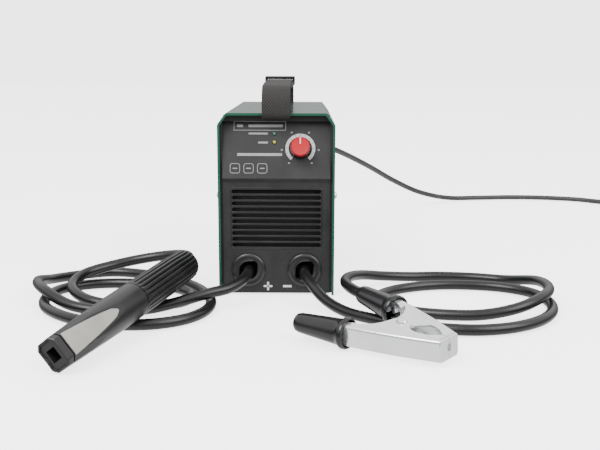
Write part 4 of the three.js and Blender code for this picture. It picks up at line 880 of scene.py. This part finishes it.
clampHalves = (("clamp_front", np.eye(4), 0, "clamp_front"), ("clamp_rear", turnOver, 1, "root"))
for name, flip, step, body in clampHalves:
    addPiece(f"{name}_channel", moved(channel(step), clampFrame @ flip), "chrome", f"{name}_jaw", body, 30)
    addPiece(f"{name}_sleeve", moved(grip(name == "clamp_rear"), clampFrame @ flip @ gripPlace), "vinyl",
             f"{name}_grip", body, 50)
rivetProfile = [(0.3, -11.6), (2.2, -11.5), (3.9, -10.9), (4.6, -9.5), (2.5, -9.5), (2.5, 9.5), (4.6, 9.5),
                (3.9, 10.9), (2.2, 11.5), (0.3, 11.6)]
addPiece("clamp_rivet_heads", moved(turned(rivetProfile, sides=36), clampFrame), "chrome", "clamp_rivet")
spring = {"turns": 4.5, "radius": 3.9, "half": 4.4, "wire": 0.75, "steps": 180}
springAngle = np.linspace(0, spring["turns"] * turn, spring["steps"])
springPath = np.stack([spring["radius"] * np.cos(springAngle), spring["radius"] * np.sin(springAngle),
                       np.linspace(-spring["half"], spring["half"], spring["steps"])], -1)
springWire = swept(springPath, circle(spring["wire"], 8))
addPiece("clamp_spring_wire", moved(springWire, clampFrame), "zinc", "clamp_spring", sharp=60)
print("clamp done")

# Plug and strain relief
plugFrame = frameAt(plugTailEnd, (0, 1, 0), (1, 0, 0))
plugProfile = [(0.4, 0.0), (4.6, 0.0)]
plugProfile += [(4.7 + (0.5 if k % 2 else 0) + k * 0.02, 1.2 + k) for k in range(13)]
plugProfile += [(5.4, 16), (plug["tail"], 23), (9.5, 27), (13.6, 31), (plug["round"], 34),
                (plug["round"], 39), (14.2, 41), (14.2, 49), (plug["round"], 51), (plug["round"], 54.5),
                (14.2, 56), (0.4, 56)]
addPiece("plug_moulding", moved(turned(plugProfile, sides=56), plugFrame), "rubber", "mains_plug", sharp=40)
relief = {"x": 28, "z": 134, "rings": 9, "pitch": 3.0, "first": 8.5, "radius": 7.2, "taper": 0.22}
reliefBody = [(4.1, -8), (7.5, -8), (7.5, 6), (7.3, 7.5)]
for k in range(relief["rings"]):
    s = relief["first"] + k * relief["pitch"]
    radius = relief["radius"] - k * relief["taper"]
    reliefBody += [(radius, s), (radius, s + 1.6), (radius - 0.9, s + 1.9), (radius - 0.9, s + 2.7)]
reliefBody += [(5.2, 35.6), (4.7, 36), (4.1, 36)]
reliefFrame = frameAt((relief["x"], rearY - 4, relief["z"]), (0, 1, 0), (1, 0, 0))
addPiece("relief_boot", moved(turned(reliefBody, wrap=True, sides=40), reliefFrame), "rubber",
         "strain_relief", sharp=40)
print("plug done")

# The tie is a soft band round the wound turns.
tie = {"angle": 1.0, "outer": (25.4, 17.4, 5.0), "inner": (23.6, 15.6, 4.1), "half": 4.6, "lift": 8.0}
tieAlong = np.array([math.cos(tie["angle"]), math.sin(tie["angle"]), 0])
tieOut, tieIn = softBox(*tie["outer"], 7), softBox(*tie["inner"], 7)
tieRings = [(tieOut, -tie["half"]), (tieOut, tie["half"]), (tieIn, tie["half"]), (tieIn, -tie["half"])]
tieShape = skin([np.column_stack([o, np.full(len(o), w)]) for o, w in tieRings], wrap=True)
tieMiddle = coilCentre + tieAlong * 42.4 + [0, 0, tie["lift"]]
tieFrame = frameAt(tieMiddle, np.cross(tieAlong, [0, 0, 1.0]), tieAlong)
addPiece("tie_band", moved(tieShape, tieFrame), "rubber", "coil_tie", sharp=50, bevel=0.3)

# CAD nodes that keep their shape
kept = {"front_panel": "panel", "rear_panel": "panel", "gland_collar": "panel",
        "switch_housing": "gloss", "switch_rocker": "rockerRed", "fan_frame": "blackAndShade",
        "fan_rotor": "gloss", "chassis_pan": "zinc", "power_board": "board", "control_board": "board",
        "heat_sink_left": "aluminium", "heat_sink_right": "aluminium", "transformer_core": "ferrite",
        "transformer_winding": "copper", "output_choke": "copper", "filter_capacitor_1": "sleeve",
        "filter_capacitor_2": "sleeve", "positive_terminal": "brass", "negative_terminal": "brass",
        "strap_bar_front": "chrome", "strap_bar_rear": "chrome", "knob_shaft": "brass",
        "potentiometer": "zinc", "holder_jaw": "brass", "holder_plunger": "chrome",
        "clamp_lug": "zinc", "clamp_bolt": "chrome", "plug_pin_left": "chrome",
        "plug_pin_right": "chrome"}
for node, paint in kept.items():
    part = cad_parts[node]
    part.data.materials.clear()
    part.data.materials.append(paints[paint].material)
print("carried nodes done")

# Floor and light
# Each sheet glows a little for the eye alone, so that it stays pale and lights nothing.
def stagePiece(name, points, glow):
    mesh = bpy.data.meshes.new(name)
    mesh.from_pydata(points, [], [(0, 1, 2, 3)])
    made = bpy.data.objects.new(name, mesh)
    surface = Paint(name, (0.9, 0.9, 0.9), 0.6, **{"Emission Color": (1, 1, 1, 1), "Emission Strength": glow})
    mesh.materials.append(surface.material)
    bpy.context.scene.collection.objects.link(made)
    made.visible_diffuse = made.visible_glossy = made.visible_transmission = False


stage = {"half": 7.0, "back": 6.9, "tall": 5.0, "glow": 2.6, "low": -0.0006}
half, tall = stage["half"], stage["tall"]
floorCorners = ((-half, -half), (half, -half), (half, half), (-half, half))
wallCorners = ((-half, 0), (half, 0), (half, tall), (-half, tall))
stagePiece("floor", [(x, y, stage["low"]) for x, y in floorCorners], stage["glow"])
stagePiece("backdrop", [(x, stage["back"], z) for x, z in wallCorners], stage["glow"])
world = bpy.data.worlds.new("studio")
bpy.context.scene.world = world
world.use_nodes = True
# White above and below, with darker walls between them, by the height of the direction.
sky = world.node_tree
background = sky.nodes["Background"]
direction, height, walls = (sky.nodes.new(kind) for kind in
                            ("ShaderNodeTexCoord", "ShaderNodeSeparateXYZ", "ShaderNodeValToRGB"))
lift = sky.nodes.new("ShaderNodeMapRange")
lift.inputs["From Min"].default_value = -1
sky.links.new(direction.outputs["Generated"], height.inputs[0])
sky.links.new(height.outputs["Z"], lift.inputs["Value"])
sky.links.new(lift.outputs["Result"], walls.inputs["Fac"])
sky.links.new(walls.outputs["Color"], background.inputs["Color"])
ramp = walls.color_ramp
studio = {"strength": 1.45, "white": (0.30, 0.66), "walls": ((0.40, 0.30), (0.55, 0.26))}
for element, position in zip(ramp.elements, studio["white"]):
    element.position, element.color = position, (1, 1, 1, 1)
for position, shade in studio["walls"]:
    ramp.elements.new(position).color = (shade, shade, shade, 1)
background.inputs["Strength"].default_value = studio["strength"]


def softLight(name, place, aim, size, power):
    lamp = bpy.data.lights.new(name, "AREA")
    lamp.shape, lamp.size, lamp.energy = "SQUARE", size, power
    made = bpy.data.objects.new(name, lamp)
    direction = Matrix.Translation(place).translation - Matrix.Translation(aim).translation
    made.matrix_world = Matrix.Translation(place) @ direction.to_track_quat("Z", "Y").to_matrix().to_4x4()
    bpy.context.scene.collection.objects.link(made)


softLight("key_light", (-0.9, -1.4, 1.7), (0, -0.1, 0.1), 1.2, 46)
softLight("fill_light", (1.3, -1.0, 1.2), (0, -0.1, 0.1), 1.4, 26)
print("stage done")
